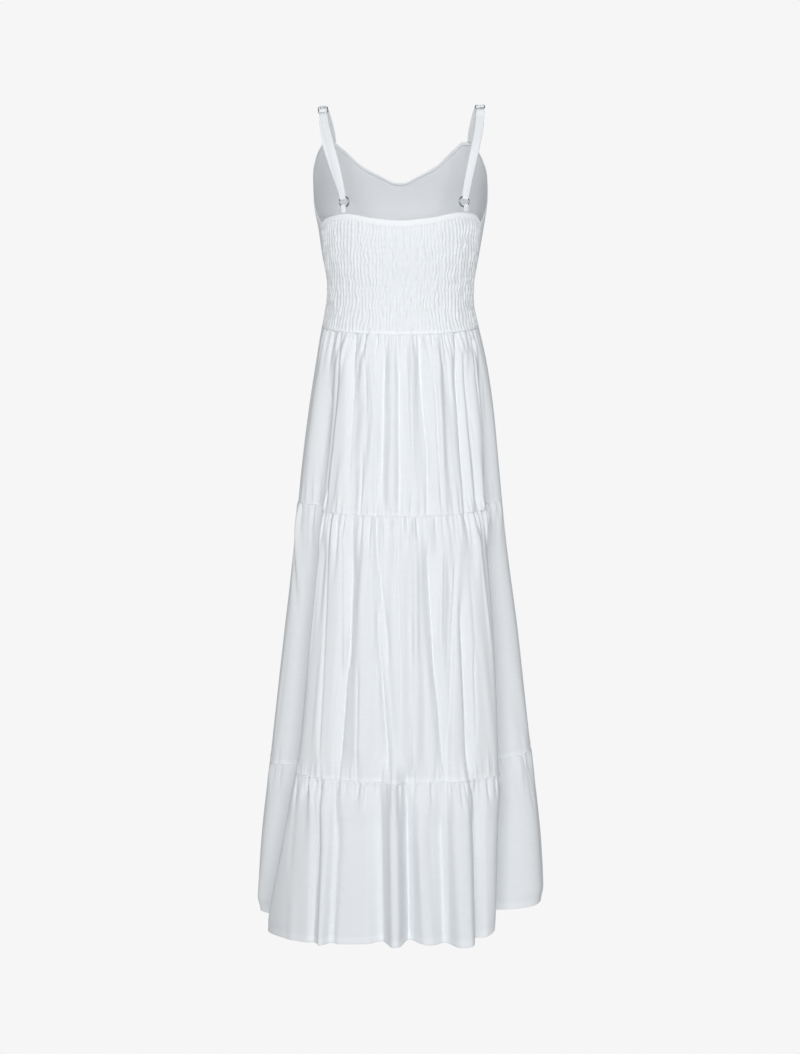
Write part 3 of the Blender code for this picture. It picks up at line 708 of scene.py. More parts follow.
def gather_height(tier, share, drop, front):
    """Ridges down from the top seam (0), up from the bottom seam (1), and free ones between them (2)."""
    chance = np.random.default_rng(GATHER_SEED[front] + tier)
    top = TIERS.top[tier]
    bottom = TIERS.bottom[tier]
    height = np.zeros_like(share + drop)
    for row in np.flatnonzero(GATHERS.tier == tier):
        kind = GATHERS.kind[row]
        length = girth(bottom if kind == 1 else top) / 2
        count = int(GATHERS.count[row])
        places = (np.arange(count) + chance.uniform(-GATHER_JITTER, GATHER_JITTER, count)) / count
        crowd = 0.5 + 0.5 * np.sin(2 * math.pi * (places * CLUSTER_WAVES + chance.uniform()))
        strength = 1 - CLUSTERS * (1 - crowd) * chance.uniform(0.2, 1, count)
        tall = chance.uniform(GATHERS.height_low[row], GATHERS.height_high[row], count) * strength
        wide = chance.uniform(GATHERS.width_low[row], GATHERS.width_high[row], count)
        spare = GATHERS.long_high[row] - GATHERS.long_low[row]
        long = GATHERS.long_low[row] + spare * chance.beta(*GATHER_LENGTHS, count)
        lean = chance.uniform(-GATHER_LEAN, GATHER_LEAN, count)
        sign = chance.choice([1.0, 1.0, -1.0], count)
        wide = np.where(sign < 0, TROUGH_WIDTH * wide, wide)
        starts = {0: np.full(count, top), 1: np.full(count, bottom), 2: chance.uniform(top, bottom, count)}[kind]
        for number in range(count):
            away = np.abs(drop - starts[number])
            spread = 1 + away / GATHER_WIDENING if kind < 2 else 1.0
            off = np.abs((share - places[number]) * length - lean[number] * (drop - starts[number]))
            off = np.clip(off / (wide[number] * spread / 2), 0, 1)
            ridge = bump(off) if sign[number] > 0 else trough(off)
            fall = 1 - ease((away - FULL_SHARE * long[number]) / long[number])
            height = height + sign[number] * tall[number] * ridge * fall / np.sqrt(spread)
    settle = SETTLED + (1 - SETTLED) * ease((drop - top) / GATHER_START)
    if tier < len(TIER_NAMES) - 1:
        settle = settle * (SETTLED + (1 - SETTLED) * ease((bottom - drop) / GATHER_START))
    return height * settle * away_from_sides(tier, share, GATHER_ASIDE[front])


print("gathers and puckers a side:", int(GATHERS.count.sum()))

# %% Short pleats that fan out below a seam where the photo shows them
FAN_START = 5
FAN_WIDENING = 0.8
FAN_FULL = 0.3
FANS = table(
    "tier across_start across_end length width height",
    (1, 150, 170, 200, 10, -4.5),
    (1, 161, 182, 220, 10, -4.5),
    (1, 121, 128, 60, 6, -3.0),
    (1, 109, 113, 45, 6, -3.0),
    (1, 98, 101, 70, 7, -3.2),
    (1, 87, 88, 40, 6, -2.8),
    (1, 75, 76, 55, 6, -3.0),
    (1, 60, 60, 40, 6, -2.6),
    (1, 6, 4, 50, 6, -2.8),
    (1, -11, -14, 70, 7, -3.2),
    (1, -25, -29, 45, 6, -2.8),
    (1, -90, -94, 50, 6, -3.0),
    (1, -104, -110, 70, 7, -3.2),
    (1, -117, -124, 45, 6, -3.0),
    (1, -132, -140, 55, 6, -3.0),
    (2, 197, 204, 120, 9, -4.0),
    (2, 184, 190, 100, 9, -4.0),
    (2, 146, 152, 45, 7, -3.6),
    (2, 136, 138, 60, 7, -4.2),
    (2, 126, 124, 50, 7, -3.6),
    (2, 110, 110, 30, 6, -2.4),
    (2, 63, 70, 36, 7, -3.6),
    (2, 52, 56, 48, 7, -4.0),
    (2, 41, 43, 40, 7, -3.8),
    (2, 16, 17, 60, 7, -4.0),
    (2, 3, 0, 85, 8, -4.6),
    (2, -6, -10, 50, 7, -3.6),
    (2, -79, -78, 60, 7, -4.2),
    (2, -92, -96, 50, 7, -4.0),
    (2, -101, -108, 70, 8, -4.4),
    (2, -111, -122, 55, 7, -3.8),
    (2, -127, -132, 70, 8, -4.2),
    (2, -139, -142, 50, 7, -3.8),
    (2, -152, -154, 45, 7, -3.4),
    (2, -178, -184, 110, 9, -4.5),
    (2, -190, -200, 140, 9, -4.5),
    (2, -200, -212, 90, 8, -3.5),
)


def fan_height(tier, turn, drop):
    """How far the short pleats below a tier's top seam move the cloth out."""
    height = np.zeros_like(turn + drop)
    for row in np.flatnonzero(FANS.tier == tier):
        below = np.clip(drop - TIERS.top[tier], 0, FANS.length[row])
        along = below / FANS.length[row]
        across = FANS.across_start[row] + along * (FANS.across_end[row] - FANS.across_start[row])
        width = FANS.width[row] * (1 + FAN_WIDENING * along)
        share = fold_share(turn, drop, turn_of(across, drop), width)
        fade = ease(below / FAN_START) * (1 - ease((along - FAN_FULL) / (1 - FAN_FULL)))
        height = height + FANS.height[row] * fade * trough(share)
    return height


print("pleats in fans:", len(FANS.tier))

# %% [markdown]
# ## Skirt tiers
#
# Each tier is a front and a back panel. The top edge is gathered into the seam above, so the cloth puffs out
# just below it. The bottom edge is turned to the inside, and the last tier ends in a turned hem. The corners
# of the hem at the side seams roll in a little.

# %% Six panels from seam to seam
PUFFS = (1.6, 2.0, 2.0)
PUFF_LENGTH = 70
LIP = 1.1
LIP_LENGTH = 4.5
LIP_ASIDE = 80
LIP_EVEN = 0.45
UNDER_LIP = 0.7
UNDER_LIP_LENGTH = 7
# How far seams and hem hang lower at each turn, at the middle seam and at the hem
DIPS = table(
    "turn middle hem",
    (-180, 0, 0),
    (-115, -6, -8),
    (-92, -14, -16),
    (-76, -13, -26),
    (-62, -4, -22),
    (-50, -1, -21),
    (-42, 0, -10),
    (-32, 0, 0),
    (0, 0, 0),
    (52, 0, 9),
    (68, 3, 9),
    (79, 8, -4),
    (95, 8, -2),
    (118, 2, 2),
    (180, 0, 0),
)
HEM_HEIGHT = 12
HEM_PINCH = 0.35
HEM_CURL = 6
HEM_CURL_LENGTH = 26
ROWS_CROWD = 1.15
SEAM_DOUBLE = 4.5
SEAM_WHITENESS = (0.4, 1.0)
HEM_WHITENESS = 0.6
PANEL_CUTS = {"top": (520, 300), "mid": (700, 437), "hem": (880, 285)}


def hem_curl(turn, drop):
    """How far the hem rolls in at the two sides."""
    side = np.abs(np.sin(turn)) ** 6
    near = ease((drop - (HEM - HEM_CURL_LENGTH)) / HEM_CURL_LENGTH)
    return -HEM_CURL * side * near


def dip(turn, drop):
    """How much lower than level a seam or the hem hangs at a turn."""
    degrees = (np.degrees(turn) + 180) % 360 - 180
    middle = smooth(degrees, DIPS.turn, DIPS.middle)
    hem = smooth(degrees, DIPS.turn, DIPS.hem)
    down = np.clip((drop - TOP_SEAM) / (MIDDLE_SEAM - TOP_SEAM), 0, 1)
    further = np.clip((drop - MIDDLE_SEAM) / (HEM - MIDDLE_SEAM), 0, 1.1)
    return down * middle + further * (hem - middle)


def hung(turn, drop, out):
    """Points of the skirt with the dips of its seams and hem."""
    points = place(turn, drop, out)
    points[..., 2] -= dip(turn, drop)
    return points


def skirt_out(tier, share, turn, drop, front):
    """How far a tier's cloth stands out from the smooth form."""
    below = np.clip(drop - TIERS.top[tier], 0, None)
    out = main_folds(turn, drop) + gather_height(tier, share, drop, front)
    if not front:
        out = out + folds_height(CREASES, turn, drop, False, CREASE_ABOVE, CREASE_BELOW, trough)
        out = out + fan_height(tier, turn, drop)
    broad = away_from_sides(tier, share, LIP_ASIDE)
    uneven = LIP_EVEN + (1 - LIP_EVEN) * np.sin(19 * turn + 1.3) * np.sin(31 * turn)
    out = out + PUFFS[tier] * broad * np.sin(math.pi * np.clip(below / PUFF_LENGTH, 0, 1))
    out = out + UNDER_LIP * broad * (1 - ease(below / UNDER_LIP_LENGTH))
    if tier < len(TIER_NAMES) - 1:
        out = out + LIP * broad * uneven * ease((drop - TIERS.bottom[tier] + LIP_LENGTH) / LIP_LENGTH)
    else:
        stitched = np.clip(1 - np.abs(drop - (HEM - HEM_HEIGHT + 1)) / 2, 0, 1)
        out = out + hem_curl(turn, drop) - HEM_PINCH * stitched
    return out


def panel_turn(share, drop, front):
    """Turn at a share of the way across a panel."""
    edge = side_turn(drop)
    if front:
        return edge + share * 2 * (math.pi - edge)
    return -edge + share * 2 * edge


def skirt_panel(tier, front):
    """One gathered panel of a tier."""
    name = f"skirt_{TIER_NAMES[tier]}_{'front' if front else 'back'}"
    last = tier == len(TIER_NAMES) - 1
    height = TIERS.bottom[tier] - TIERS.top[tier]
    length = tier_width(tier)
    far = HEM_TURNED if last else ROW_TURNED
    down, row_depth = edge_rows(GATHERED_EDGE, far, height, int(TIERS.rows[tier]), ROWS_CROWD)
    columns = int(TIERS.columns[tier] * (FRONT_COLUMNS if front else 1))
    along, column_depth = edge_rows(SIDE_TURNED, SIDE_TURNED, length, columns)
    drop = (TIERS.top[tier] + down)[:, None]
    share = (along / length)[None, :]
    turn = panel_turn(share, drop, front)
    out = skirt_out(tier, share, turn, drop, front) - row_depth[:, None] - column_depth[None, :]
    width, long = PANEL_CUTS[TIER_NAMES[tier]]
    cut = cut_grid(share * width, down[:, None] * long / height)
    if last:
        doubled = HEM_WHITENESS * (1 - ease((height - down - HEM_HEIGHT + 1) / 1.5))
    else:
        doubled = SEAM_WHITENESS[tier] * double_rows(height - down, SEAM_DOUBLE)
    piece = cloth_sheet(name + "_cloth", hung(turn, drop, out), cut, SKIRT_CLOTH, doubled[:, None])
    return piece, name


skirt_pieces = {}
for tier in range(len(TIER_NAMES)):
    for front in (False, True):
        piece, node = skirt_panel(tier, front)
        skirt_pieces[node] = piece
        print(node, len(piece.data.polygons) * 4, "triangles with the wall")

# %% [markdown]
# ## Shirred back
#
# Shirring is sewn with elastic thread in the bobbin. Every row draws the cloth in, so between two rows it
# stands out in small upright pleats about five millimetres wide. The pleats of neighbouring rows do not quite
# line up. Here each row shifts the pleats by its own smooth amount, and the shift blends between rows.

# %% Pleats between rows of elastic
BAND_TOP = table(
    "share drop",
    (-1, 182),
    (-0.9, 169),
    (-0.76, 162),
    (-0.35, 166.5),
    (0, 170),
    (0.35, 166.5),
    (0.65, 162.5),
    (0.86, 172),
    (1, 182),
)
BAND_HEIGHT = 10
UNDER_BAND = 4
ELASTIC_ROWS = 17
PLEATS = 52
PLEAT_POINTS = 8
ROW_POINTS = 5
PLEAT_HEIGHT = 2.2
PINCHED = 0.5
PLEAT_SHIFT = 0.35
SHIFT_WAVES = 11
PLEAT_JUMP = 0.12
PLEAT_HEIGHTS = (0.25, 1.25)
SHIRRING_SEED = 3
BODICE_MIDDLE = 270
BODICE_CUT = (420, 182)


def band_drop(share):
    """Drop of the band's top edge at a share of the way from the centre back to a side seam."""
    return smooth(share, BAND_TOP.share, BAND_TOP.drop)


def shirring_top(share):
    """Drop of the shirred cloth's top edge, behind the band."""
    return band_drop(share) + BAND_HEIGHT - UNDER_BAND


def back_turn(share, end_drop):
    """Turn of a share of the way to a side seam, in a row that meets the seam at a drop."""
    return share * side_turn(end_drop)


def soft_chance(share, chance, waves):
    """A smooth random line across the back, about from -1 to 1."""
    line = np.zeros_like(share)
    for number in range(1, 4):
        line = line + np.sin(waves * number * share + chance.uniform(0, 2 * math.pi)) / number
    return line / 1.4


def pleat_height(share, row):
    """How far the shirred cloth stands out, at a share across the back and a place counted in elastic rows."""
    chance = np.random.default_rng(SHIRRING_SEED)
    rows = ELASTIC_ROWS + 2
    shifts = np.stack([PLEAT_SHIFT * soft_chance(share, chance, SHIFT_WAVES) for _ in range(rows)])
    jumps = chance.uniform(-PLEAT_JUMP, PLEAT_JUMP, rows)
    heights = chance.uniform(*PLEAT_HEIGHTS, (rows, PLEATS + 3))
    number = np.clip(np.floor(row).astype(int), 0, ELASTIC_ROWS)
    between = np.clip(row - number, 0, 1)
    blend = ease(between)[:, None]
    shift = shifts[number] * (1 - blend) + shifts[number + 1] * blend + jumps[number][:, None]
    phase = PLEATS / 2 * (share[None, :] + 1) + shift
    pleat = np.clip(np.round(phase).astype(int), 0, PLEATS + 1)
    tall = heights[number[:, None], pleat] * (1 - blend) + heights[number[:, None] + 1, pleat] * blend
    ridge = np.abs(np.cos(math.pi * phase)) ** 1.2
    arch = PINCHED + (1 - PINCHED) * np.sin(math.pi * between)[:, None] ** 0.8
    return PLEAT_HEIGHT * tall * arch * ridge


def shirred_back():
    """The back bodice with its pleats and turned edges."""
    steps = PLEATS * PLEAT_POINTS
    length = girth(BODICE_MIDDLE) / 2
    along, column_depth = edge_rows(SIDE_TURNED, SIDE_TURNED, length, steps)
    share = 2 * along / length - 1
    shown = np.clip(share, -1, 1)
    top = shirring_top(shown)
    tall = WAIST - top
    fixed = WAIST - shirring_top(0.0)
    down, row_depth = edge_rows(None, ROW_TURNED, fixed, ELASTIC_ROWS * ROW_POINTS)
    part = down / fixed
    drop = top[None, :] + part[:, None] * tall[None, :]
    turn = back_turn(share[None, :], top[-1] + part[:, None] * (WAIST - top[-1]))
    raised = pleat_height(share, np.clip(part, 0, 1) * ELASTIC_ROWS)
    fade = ease((1 - np.abs(share)) / 0.012)[None, :] * ease(down / 5)[:, None]
    lip = LIP * ease((down - fixed + LIP_LENGTH) / LIP_LENGTH)[:, None]
    fade = fade * ease((fixed - down - 1) / 5)[:, None]
    held_in = 0.5 * (1 - ease((down - UNDER_BAND) / 3))
    out = raised * fade + lip - held_in[:, None] - row_depth[:, None] - column_depth[None, :]
    cut = cut_grid((share[None, :] + 1) / 2 * BODICE_CUT[0], part[:, None] * BODICE_CUT[1])
    doubled = double_rows(fixed - down, 5)[:, None]
    return cloth_sheet("bodice_back_cloth", place(turn, drop, out), cut, SHIRRED_CLOTH, doubled)


bodice_back = shirred_back()
print("shirred back:", len(bodice_back.data.polygons) * 4, "triangles with the wall")

# %% [markdown]
# ## Back band
#
# The top of the shirred back is caught between the two layers of a narrow band. The band is one strip folded
# over the top edge, with a line of stitches near its lower edge. Elastic inside makes it ripple very
# slightly.

# %% The folded band
BAND_LOOP = table(
    "below out",
    (10, -2.0),
    (5, -2.1),
    (1.2, -2.0),
    (0.2, -1.5),
    (-0.15, -0.7),
    (0.2, 0.3),
    (1.2, 1.0),
    (3.5, 1.5),
    (6, 1.6),
    (7.6, 1.4),
    (8.2, 1.15),
    (8.8, 1.4),
    (9.6, 1.4),
    (10.2, 1.0),
    (10.3, 0.3),
)
BAND_GROOVE, BAND_GROOVE_OUT = 8.2, 1.15
BAND_CUT = (300, 23)
RIPPLE = 0.25
RIPPLES = 36


def back_band():
    """One strip folded over the top edge of the shirred back."""
    share = np.linspace(-1, 1, 241)[None, :]
    below = BAND_LOOP.below[:, None]
    wave = np.sin(math.pi * RIPPLES * share + 2.2 * np.sin(9 * share) + 0.4 * np.sin(31 * share))
    drop = band_drop(share) + below
    turn = back_turn(share, BAND_TOP.drop[-1] + below)
    front_side = ease((BAND_LOOP.out[:, None] + 1.5) / 1.5)
    out = BAND_LOOP.out[:, None] + RIPPLE * wave * ease((below - 1) / 6) * front_side
    along = np.concatenate([[0], np.cumsum(np.hypot(np.diff(BAND_LOOP.below), np.diff(BAND_LOOP.out)))])
    cut = cut_grid((share + 1) / 2 * BAND_CUT[0], along[:, None])
    return cloth_sheet("back_band_cloth", place(turn, drop, out), cut, STRAP_CLOTH, 0.5, 0.35)


band = back_band()
print("band:", len(band.data.polygons) * 4, "triangles with the wall")

# %% [markdown]
# ## Front bodice
#
# The front is one plain panel. Its top edge makes the V neckline in the middle, a short level edge at each
# strap and the armholes at the sides. All of that edge is turned to the inside and stitched. A few shallow
# drags run from the bust to the waist, as on any plain panel that is filled out.

# %% Panel with a V neckline
NECKLINE = table("turn drop", (0, 138), (5, 136.5), (14, 127), (32.8, 105.5), (41.6, 91), (57.2, 66))
ARMHOLE = table("turn drop", (64.9, 67), (71.7, 95), (77, 110), (82, 125), (93, 153), (101, 170), (107, 182))
RIGHT_SPREAD = 0.045
NECK_STEPS, POINT_STEPS, ARM_STEPS, FRONT_STEPS = 56, 8, 50, 56
FRONT_TURNED = table(
    "along depth", (4.5, 0.88), (2.5, 0.88), (0.7, 0.88), (0.1, 0.7), (-0.05, 0.4), (0.2, 0.1), (0.8, 0)
)
FRONT_CUT = (470, 265)
FRONT_DRAGS = table(
    FOLD_COLUMNS,
    (240, 352, 62, 44, 26, -1.2, -1.8),
    (250, 352, 40, 30, 22, 1.0, 1.4),
    (235, 352, -60, -46, 26, -1.2, -1.8),
    (250, 352, -38, -27, 22, 1.0, 1.4),
    (300, 352, 8, 6, 24, -0.8, -1.2),
    (190, 300, 96, 86, 34, -1.4, -1.0),
    (190, 300, -98, -88, 34, -1.4, -1.0),
    (110, 150, 92, 80, 30, -0.8, -0.6),
    (110, 150, -94, -82, 30, -0.8, -0.6),
)
DRAG_ABOVE, DRAG_BELOW = 50, 30


def front_top_edge():
    """Turn from the centre front and drop along the top edge's half."""
    neck = np.linspace(NECKLINE.turn[0], NECKLINE.turn[-1], NECK_STEPS + 1)
    point = np.linspace(NECKLINE.turn[-1], ARMHOLE.turn[0], POINT_STEPS + 1)
    arm = np.linspace(ARMHOLE.turn[0], ARMHOLE.turn[-1], ARM_STEPS + 1)
    edge = np.concatenate(
        [
            smooth(neck, NECKLINE.turn, NECKLINE.drop),
            np.full(POINT_STEPS, NECKLINE.drop[-1]),
            smooth(arm[1:], ARMHOLE.turn, ARMHOLE.drop),
        ]
    )
    return np.concatenate([neck, point[1:], arm[1:]]), edge


def front_line():
    """Places along the front's whole top edge, from -1 to 1 between the side seams, and their drops."""
    half, edge = front_top_edge()
    seam = ARMHOLE.turn[-1]
    spread = 1 + RIGHT_SPREAD * (1 - ease((half - ARMHOLE.turn[0]) / (seam - ARMHOLE.turn[0])))
    return np.concatenate([-(half * spread)[:0:-1], half]) / seam, np.concatenate([edge[:0:-1], edge])


def front_turn(from_front, drop):
    """Turn of a place on the front."""
    return math.pi + from_front * (math.pi - side_turn(np.maximum(drop, ARMHOLE.drop[-1])))


def front_out(turn, drop):
    """How far the drags move the front."""
    return folds_height(FRONT_DRAGS, turn, drop, True, DRAG_ABOVE, DRAG_BELOW, soft_trough)


def front_bodice():
    """The plain front panel with its turned top edge."""
    from_front, top = front_line()
    middle = WAIST - NECKLINE.drop[0]
    down, row_depth = edge_rows(FRONT_TURNED, ROW_TURNED, middle, FRONT_STEPS)
    part = down / middle
    drop = top[None, :] + part[:, None] * (WAIST - top)[None, :]
    turn = front_turn(from_front[None, :], drop)
    out = front_out(turn, drop) - row_depth[:, None]
    cut = cut_grid((from_front[None, :] + 1) / 2 * FRONT_CUT[0], part[:, None] * FRONT_CUT[1])
    doubled = 0.7 * double_rows(down, SEAM_DOUBLE)[:, None]
    return cloth_sheet("bodice_front_cloth", place(turn, drop, out), cut, SKIRT_CLOTH, doubled)


bodice_front = front_bodice()
print("front:", len(bodice_front.data.polygons) * 4, "triangles with the wall")

# %% [markdown]
# ## Straps
#
# Each strap is one ribbon folded from the dress cloth. It starts inside the point of the front, goes over
# the shoulder and the middle bar of a slider, down to a ring, round it and back up under itself. The line of
# the strap is a short table. A ribbon section with round edges is swept along it.

# %% Lines and sizes
STRAP_WIDTH = {"left": 11.2, "right": 12.6}
STRAP_AT_RING = 10.2
STRAP_STEP = 2.5
STRAP_THICK = 0.9
STRAP_POINTS = 600
SLIDER_ACROSS = 16
SLIDER_THICK = 1.4
SLIDER_SLOT = 3.8
SLIDER_BAR = 1.6
SLIDER_SIDE = 1.2
SLIDER_PLACE = {"left": 0.395, "right": 0.362}
STRAP_BELOW = 1.5
RETURN_BELOW = 2.9
RETURN_ASIDE = {"left": 6.8, "right": -1.2}
RETURN_LOOSE = {"left": 3.0, "right": 1.0}
MAIN_ASIDE = {"left": -0.8, "right": 0.0}
RETURN_END = 1.0
STRAIGHT_LENGTH = 7
STRAIGHT_FADE = 10
RING_RADIUS = 8.2
RING_WIRE = 1.1
LOOP_RADIUS = 2.05
LOOP_STATIONS = 13
SLIDER_STATIONS = np.linspace(-1.6, 1.6, 33)
STRAP_LOOP_PAST = 2.5
STRAP_SPREAD = 14
TAB_WIDTH = 8
TAB_LOOP_PAST = 1.5
TAB_FOOT_SHARE = {"left": 0.65, "right": -0.76}
TAB_FOOT_SPREAD = 0.75
TAB_FOOT_GAP = 0.7
TAB_FOOT_LEAN = 0.03
STRAP_LINES = {
    "left": table(
        "x y drop turn",
        (107.6, -58, 65.8, 28),
        (110, -46, 46, 24),
        (116.5, -25, 18, 14),
        (120.5, -8, 4, 6),
        (121.8, 4, 4, 0),
        (120.8, 13, 12, -4),
        (117, 31, 34, -10),
        (108.5, 53, 64, -18),
        (98, 70, 103, -24),
        (90.5, 79, 136, -28),
    ),
    "right": table(
        "x y drop turn",
        (-113.5, -54.5, 65.8, -31),
        (-115.5, -44, 46, -26),
        (-121, -25, 18, -15),
        (-125, -9, 3, -6),
        (-126.2, 0, 2, 0),
        (-126.6, 10, 9, 4),
        (-124.5, 30, 34, 10),
        (-118, 50, 64, 16),
        (-109.5, 66, 103, 22),
        (-103.2, 75, 136, 26),
    ),
}


def unit(vectors):
    """Vectors made one long."""
    return vectors / np.linalg.norm(vectors, axis=-1, keepdims=True)


def strap_line(side):
    """A strap's middle line: how far along each close point lies, its place and its three directions."""
    rows = STRAP_LINES[side]
    order = np.arange(len(rows.x), dtype=float)
    at = np.linspace(0, order[-1], STRAP_POINTS)
    drop = smooth(at, order, rows.drop)
    points = np.stack([smooth(at, order, rows.x), smooth(at, order, rows.y), -drop], -1)
    along = np.concatenate([[0], np.cumsum(np.linalg.norm(np.diff(points, axis=0), axis=1))])
    tangent = unit(np.gradient(points, along, axis=0))
    turn = np.radians(smooth(at, order, rows.turn))
    across = np.stack([np.cos(turn), np.sin(turn), np.zeros_like(turn)], -1)
    across = unit(across - (across * tangent).sum(-1, keepdims=True) * tangent)
    return types.SimpleNamespace(
        along=along,
        length=along[-1],
        slider=along[-1] * SLIDER_PLACE[side],
        ways=(points, tangent, across, np.cross(across, tangent)),
    )


def strap_frame(line, at):
    """Place, direction along, direction across and outward direction at a length along a strap."""
    return [np.array([np.interp(at, line.along, way[:, axis]) for axis in range(3)]) for way in line.ways]


strap_lines = {side: strap_line(side) for side in STRAP_LINES}
print("strap lines:", {side: round(line.length) for side, line in strap_lines.items()}, "mm to the ring")

# %% Stations through the slider and round the ring


def strap_station(line, at, lift, aside=0.0):
    """A strap's point and across direction, lifted off its line, and straight where the slider holds it."""
    point, _, across, up = strap_frame(line, at)
    centre, tangent, slider_across, slider_up = strap_frame(line, line.slider)
    away = at - line.slider
    straight = 1 - ease((abs(away) - STRAIGHT_LENGTH) / STRAIGHT_FADE)
    free = point + lift * up + aside * across
    held = centre + away * tangent + lift * slider_up + aside * slider_across
    mixed = unit(across + straight * (slider_across - across))
    return free + straight * (held - free), mixed


def slider_lift(away):
    """Height of a strap over the slider's middle: under its end bars and over its centre bar."""
    bar = SLIDER_BAR / 2
    return STRAP_BELOW * (1 - 2 * ease((abs(away) - bar) / SLIDER_SLOT))


RETURN_LAYER = 2.75


def ring_lift():
    """Height of the ring's wire over a strap's line: midway between the strap's two layers."""
    return -(STRAP_BELOW + RETURN_LAYER) / 2


def loop_round(centre, past, up, across, width):
    """Stations half way round a wire, from its outer side to its inner side."""
    turns = np.linspace(0, math.pi, LOOP_STATIONS)
    return [(centre + LOOP_RADIUS * (math.cos(t) * up + math.sin(t) * past), across, width) for t in turns]


def strap_shape(side, line, at):
    """A strap at a place: its share of the spread to the ring, its width, and how far it swings below the slider."""
    spread = ease((at - line.length + STRAP_SPREAD) / STRAP_SPREAD)
    width = STRAP_WIDTH[side] + spread * (STRAP_AT_RING - STRAP_WIDTH[side])
    share = max(at - line.slider, 0) / (line.length - line.slider)
    return spread, width, math.sin(math.pi * share)


def strap_stations(side, line):
    """A strap from the front point, through the slider, round the ring and back up to the slider's bar."""
    slot_end = SLIDER_BAR / 2 + SLIDER_SLOT
    near = slot_end * SLIDER_STATIONS
    before = np.arange(0, line.slider + near[0] - STRAP_STEP / 2, STRAP_STEP)
    steps = int((line.length - line.slider - near[-1]) / STRAP_STEP)
    after = np.linspace(line.slider + near[-1], line.length, steps + 1)
    stations = []
    for at in np.concatenate([before, line.slider + near, after[1:]]):
        spread, width, swing = strap_shape(side, line, at)
        lift = slider_lift(at - line.slider) + spread * (ring_lift() + LOOP_RADIUS + STRAP_BELOW)
        stations.append((*strap_station(line, at, lift, MAIN_ASIDE[side] * swing), width))
    point, tangent, across, up = strap_frame(line, line.length)
    centre = point + ring_lift() * up + STRAP_LOOP_PAST * tangent
    stations += loop_round(centre, tangent, up, across, STRAP_AT_RING)
    back_up = [near_at for near_at in (line.slider + near)[::-1] if near_at > line.slider + RETURN_END]
    for at in np.concatenate([after[::-1], back_up[1:], [line.slider + RETURN_END]]):
        spread, width, swing = strap_shape(side, line, at)
        rise = 1 - ease((at - line.slider - SLIDER_BAR) / SLIDER_SLOT)
        lift = -RETURN_BELOW + spread * (ring_lift() - LOOP_RADIUS + RETURN_BELOW)
        lift += rise * (RETURN_BELOW - STRAP_BELOW)
        lift -= RETURN_LOOSE[side] * swing**2
        stations.append((*strap_station(line, at, lift, RETURN_ASIDE[side] * swing), width))
    return stations


RIBBON_HALF = ((-1.0, 0.0), (-0.985, 0.7), (-0.93, 1.0), (-0.80, 0.9), (-0.73, 0.45), (-0.66, 0.9), (-0.3, 1.0))
RIBBON = table("across up", *RIBBON_HALF, (0.0, 1.0), *[(-across, up) for across, up in RIBBON_HALF[:0:-1]])


def ribbon(name, stations, thick, finish):
    """A folded ribbon with round edges through its stations, as one closed piece."""
    points = np.array([station[0] for station in stations])
    across = unit(np.array([station[1] for station in stations]))
    half = np.array([station[2] for station in stations]) / 2
    up = unit(np.cross(across, unit(np.gradient(points, axis=0))))
    over = np.concatenate([RIBBON.across, -RIBBON.across])
    lift = np.concatenate([RIBBON.up, -RIBBON.up]) * thick / 2
    sideways = over[None, :, None] * half[:, None, None] * across[:, None]
    ring = points[:, None] + sideways + lift[None, :, None] * up[:, None]
    rows, columns = ring.shape[:2]
    along = np.concatenate([[0], np.cumsum(np.linalg.norm(np.diff(points, axis=0), axis=1))])
    round_it = np.linspace(0, 4 * half.max(), columns + 1)
    corner = np.arange(rows * columns).reshape(rows, columns)
    beside = np.roll(corner, -1, axis=1)
    faces = np.stack([corner[:-1], corner[1:], beside[1:], beside[:-1]], -1).reshape(-1, 4).tolist()
    faces += [corner[0].tolist(), corner[-1, ::-1].tolist()]
    places = [(r, c) for r in range(rows - 1) for c in range(columns)]
    marks = [(round_it[c + i], along[r + j]) for r, c in places for i, j in ((0, 0), (0, 1), (1, 1), (1, 0))]
    marks += [(number, 0.0) for number in range(columns)] * 2
    return new_piece(name, ring, faces, np.array(marks), finish)


straps = {}
strap_paths = {}
for side, line in strap_lines.items():
    stations = strap_stations(side, line)
    strap_paths[side] = np.array([station[0] for station in stations])
    straps[side] = ribbon(f"strap_{side}_cloth", stations, STRAP_THICK, STRAP_CLOTH)
    print(f"strap {side}:", len(stations), "stations")

# %% [markdown]
# ## Rings and sliders
#
# Both are bent from wire. A wire is a path with a round section, which is what the Curve to Mesh node makes,
# so one small Geometry Nodes tree serves the rings, the slider frames and their middle bars. Its input is the
# wire's radius. The result is turned into a plain mesh at once.

# %% A tree that turns a path into a wire


def new_tree(name, sizes):
    """An empty Geometry Nodes tree with one geometry in and out, and named inputs."""
    tree = bpy.data.node_groups.new(name, "GeometryNodeTree")
    tree.interface.new_socket(name="Geometry", in_out="INPUT", socket_type="NodeSocketGeometry")
    for label, kind, value in sizes:
        socket = tree.interface.new_socket(name=label, in_out="INPUT", socket_type=kind)
        if value is not None:
            socket.default_value = value
    tree.interface.new_socket(name="Geometry", in_out="OUTPUT", socket_type="NodeSocketGeometry")
    return tree, tree.nodes.new("NodeGroupInput"), tree.nodes.new("NodeGroupOutput")


def finish_tree(tree, given, made, shape):
    """Ends a tree with smooth shading, real copies and the given finish."""
    smooth_it = add(tree, "GeometryNodeSetShadeSmooth")
    realize = add(tree, "GeometryNodeRealizeInstances")
    finish = add(tree, "GeometryNodeSetMaterial")
    link_up(
        tree,
        (shape, 0, smooth_it, "Geometry"),
        (smooth_it, 0, realize, 0),
        (realize, 0, finish, "Geometry"),
        (given, "Finish", finish, "Material"),
        (finish, 0, made, 0),
    )
    return tree


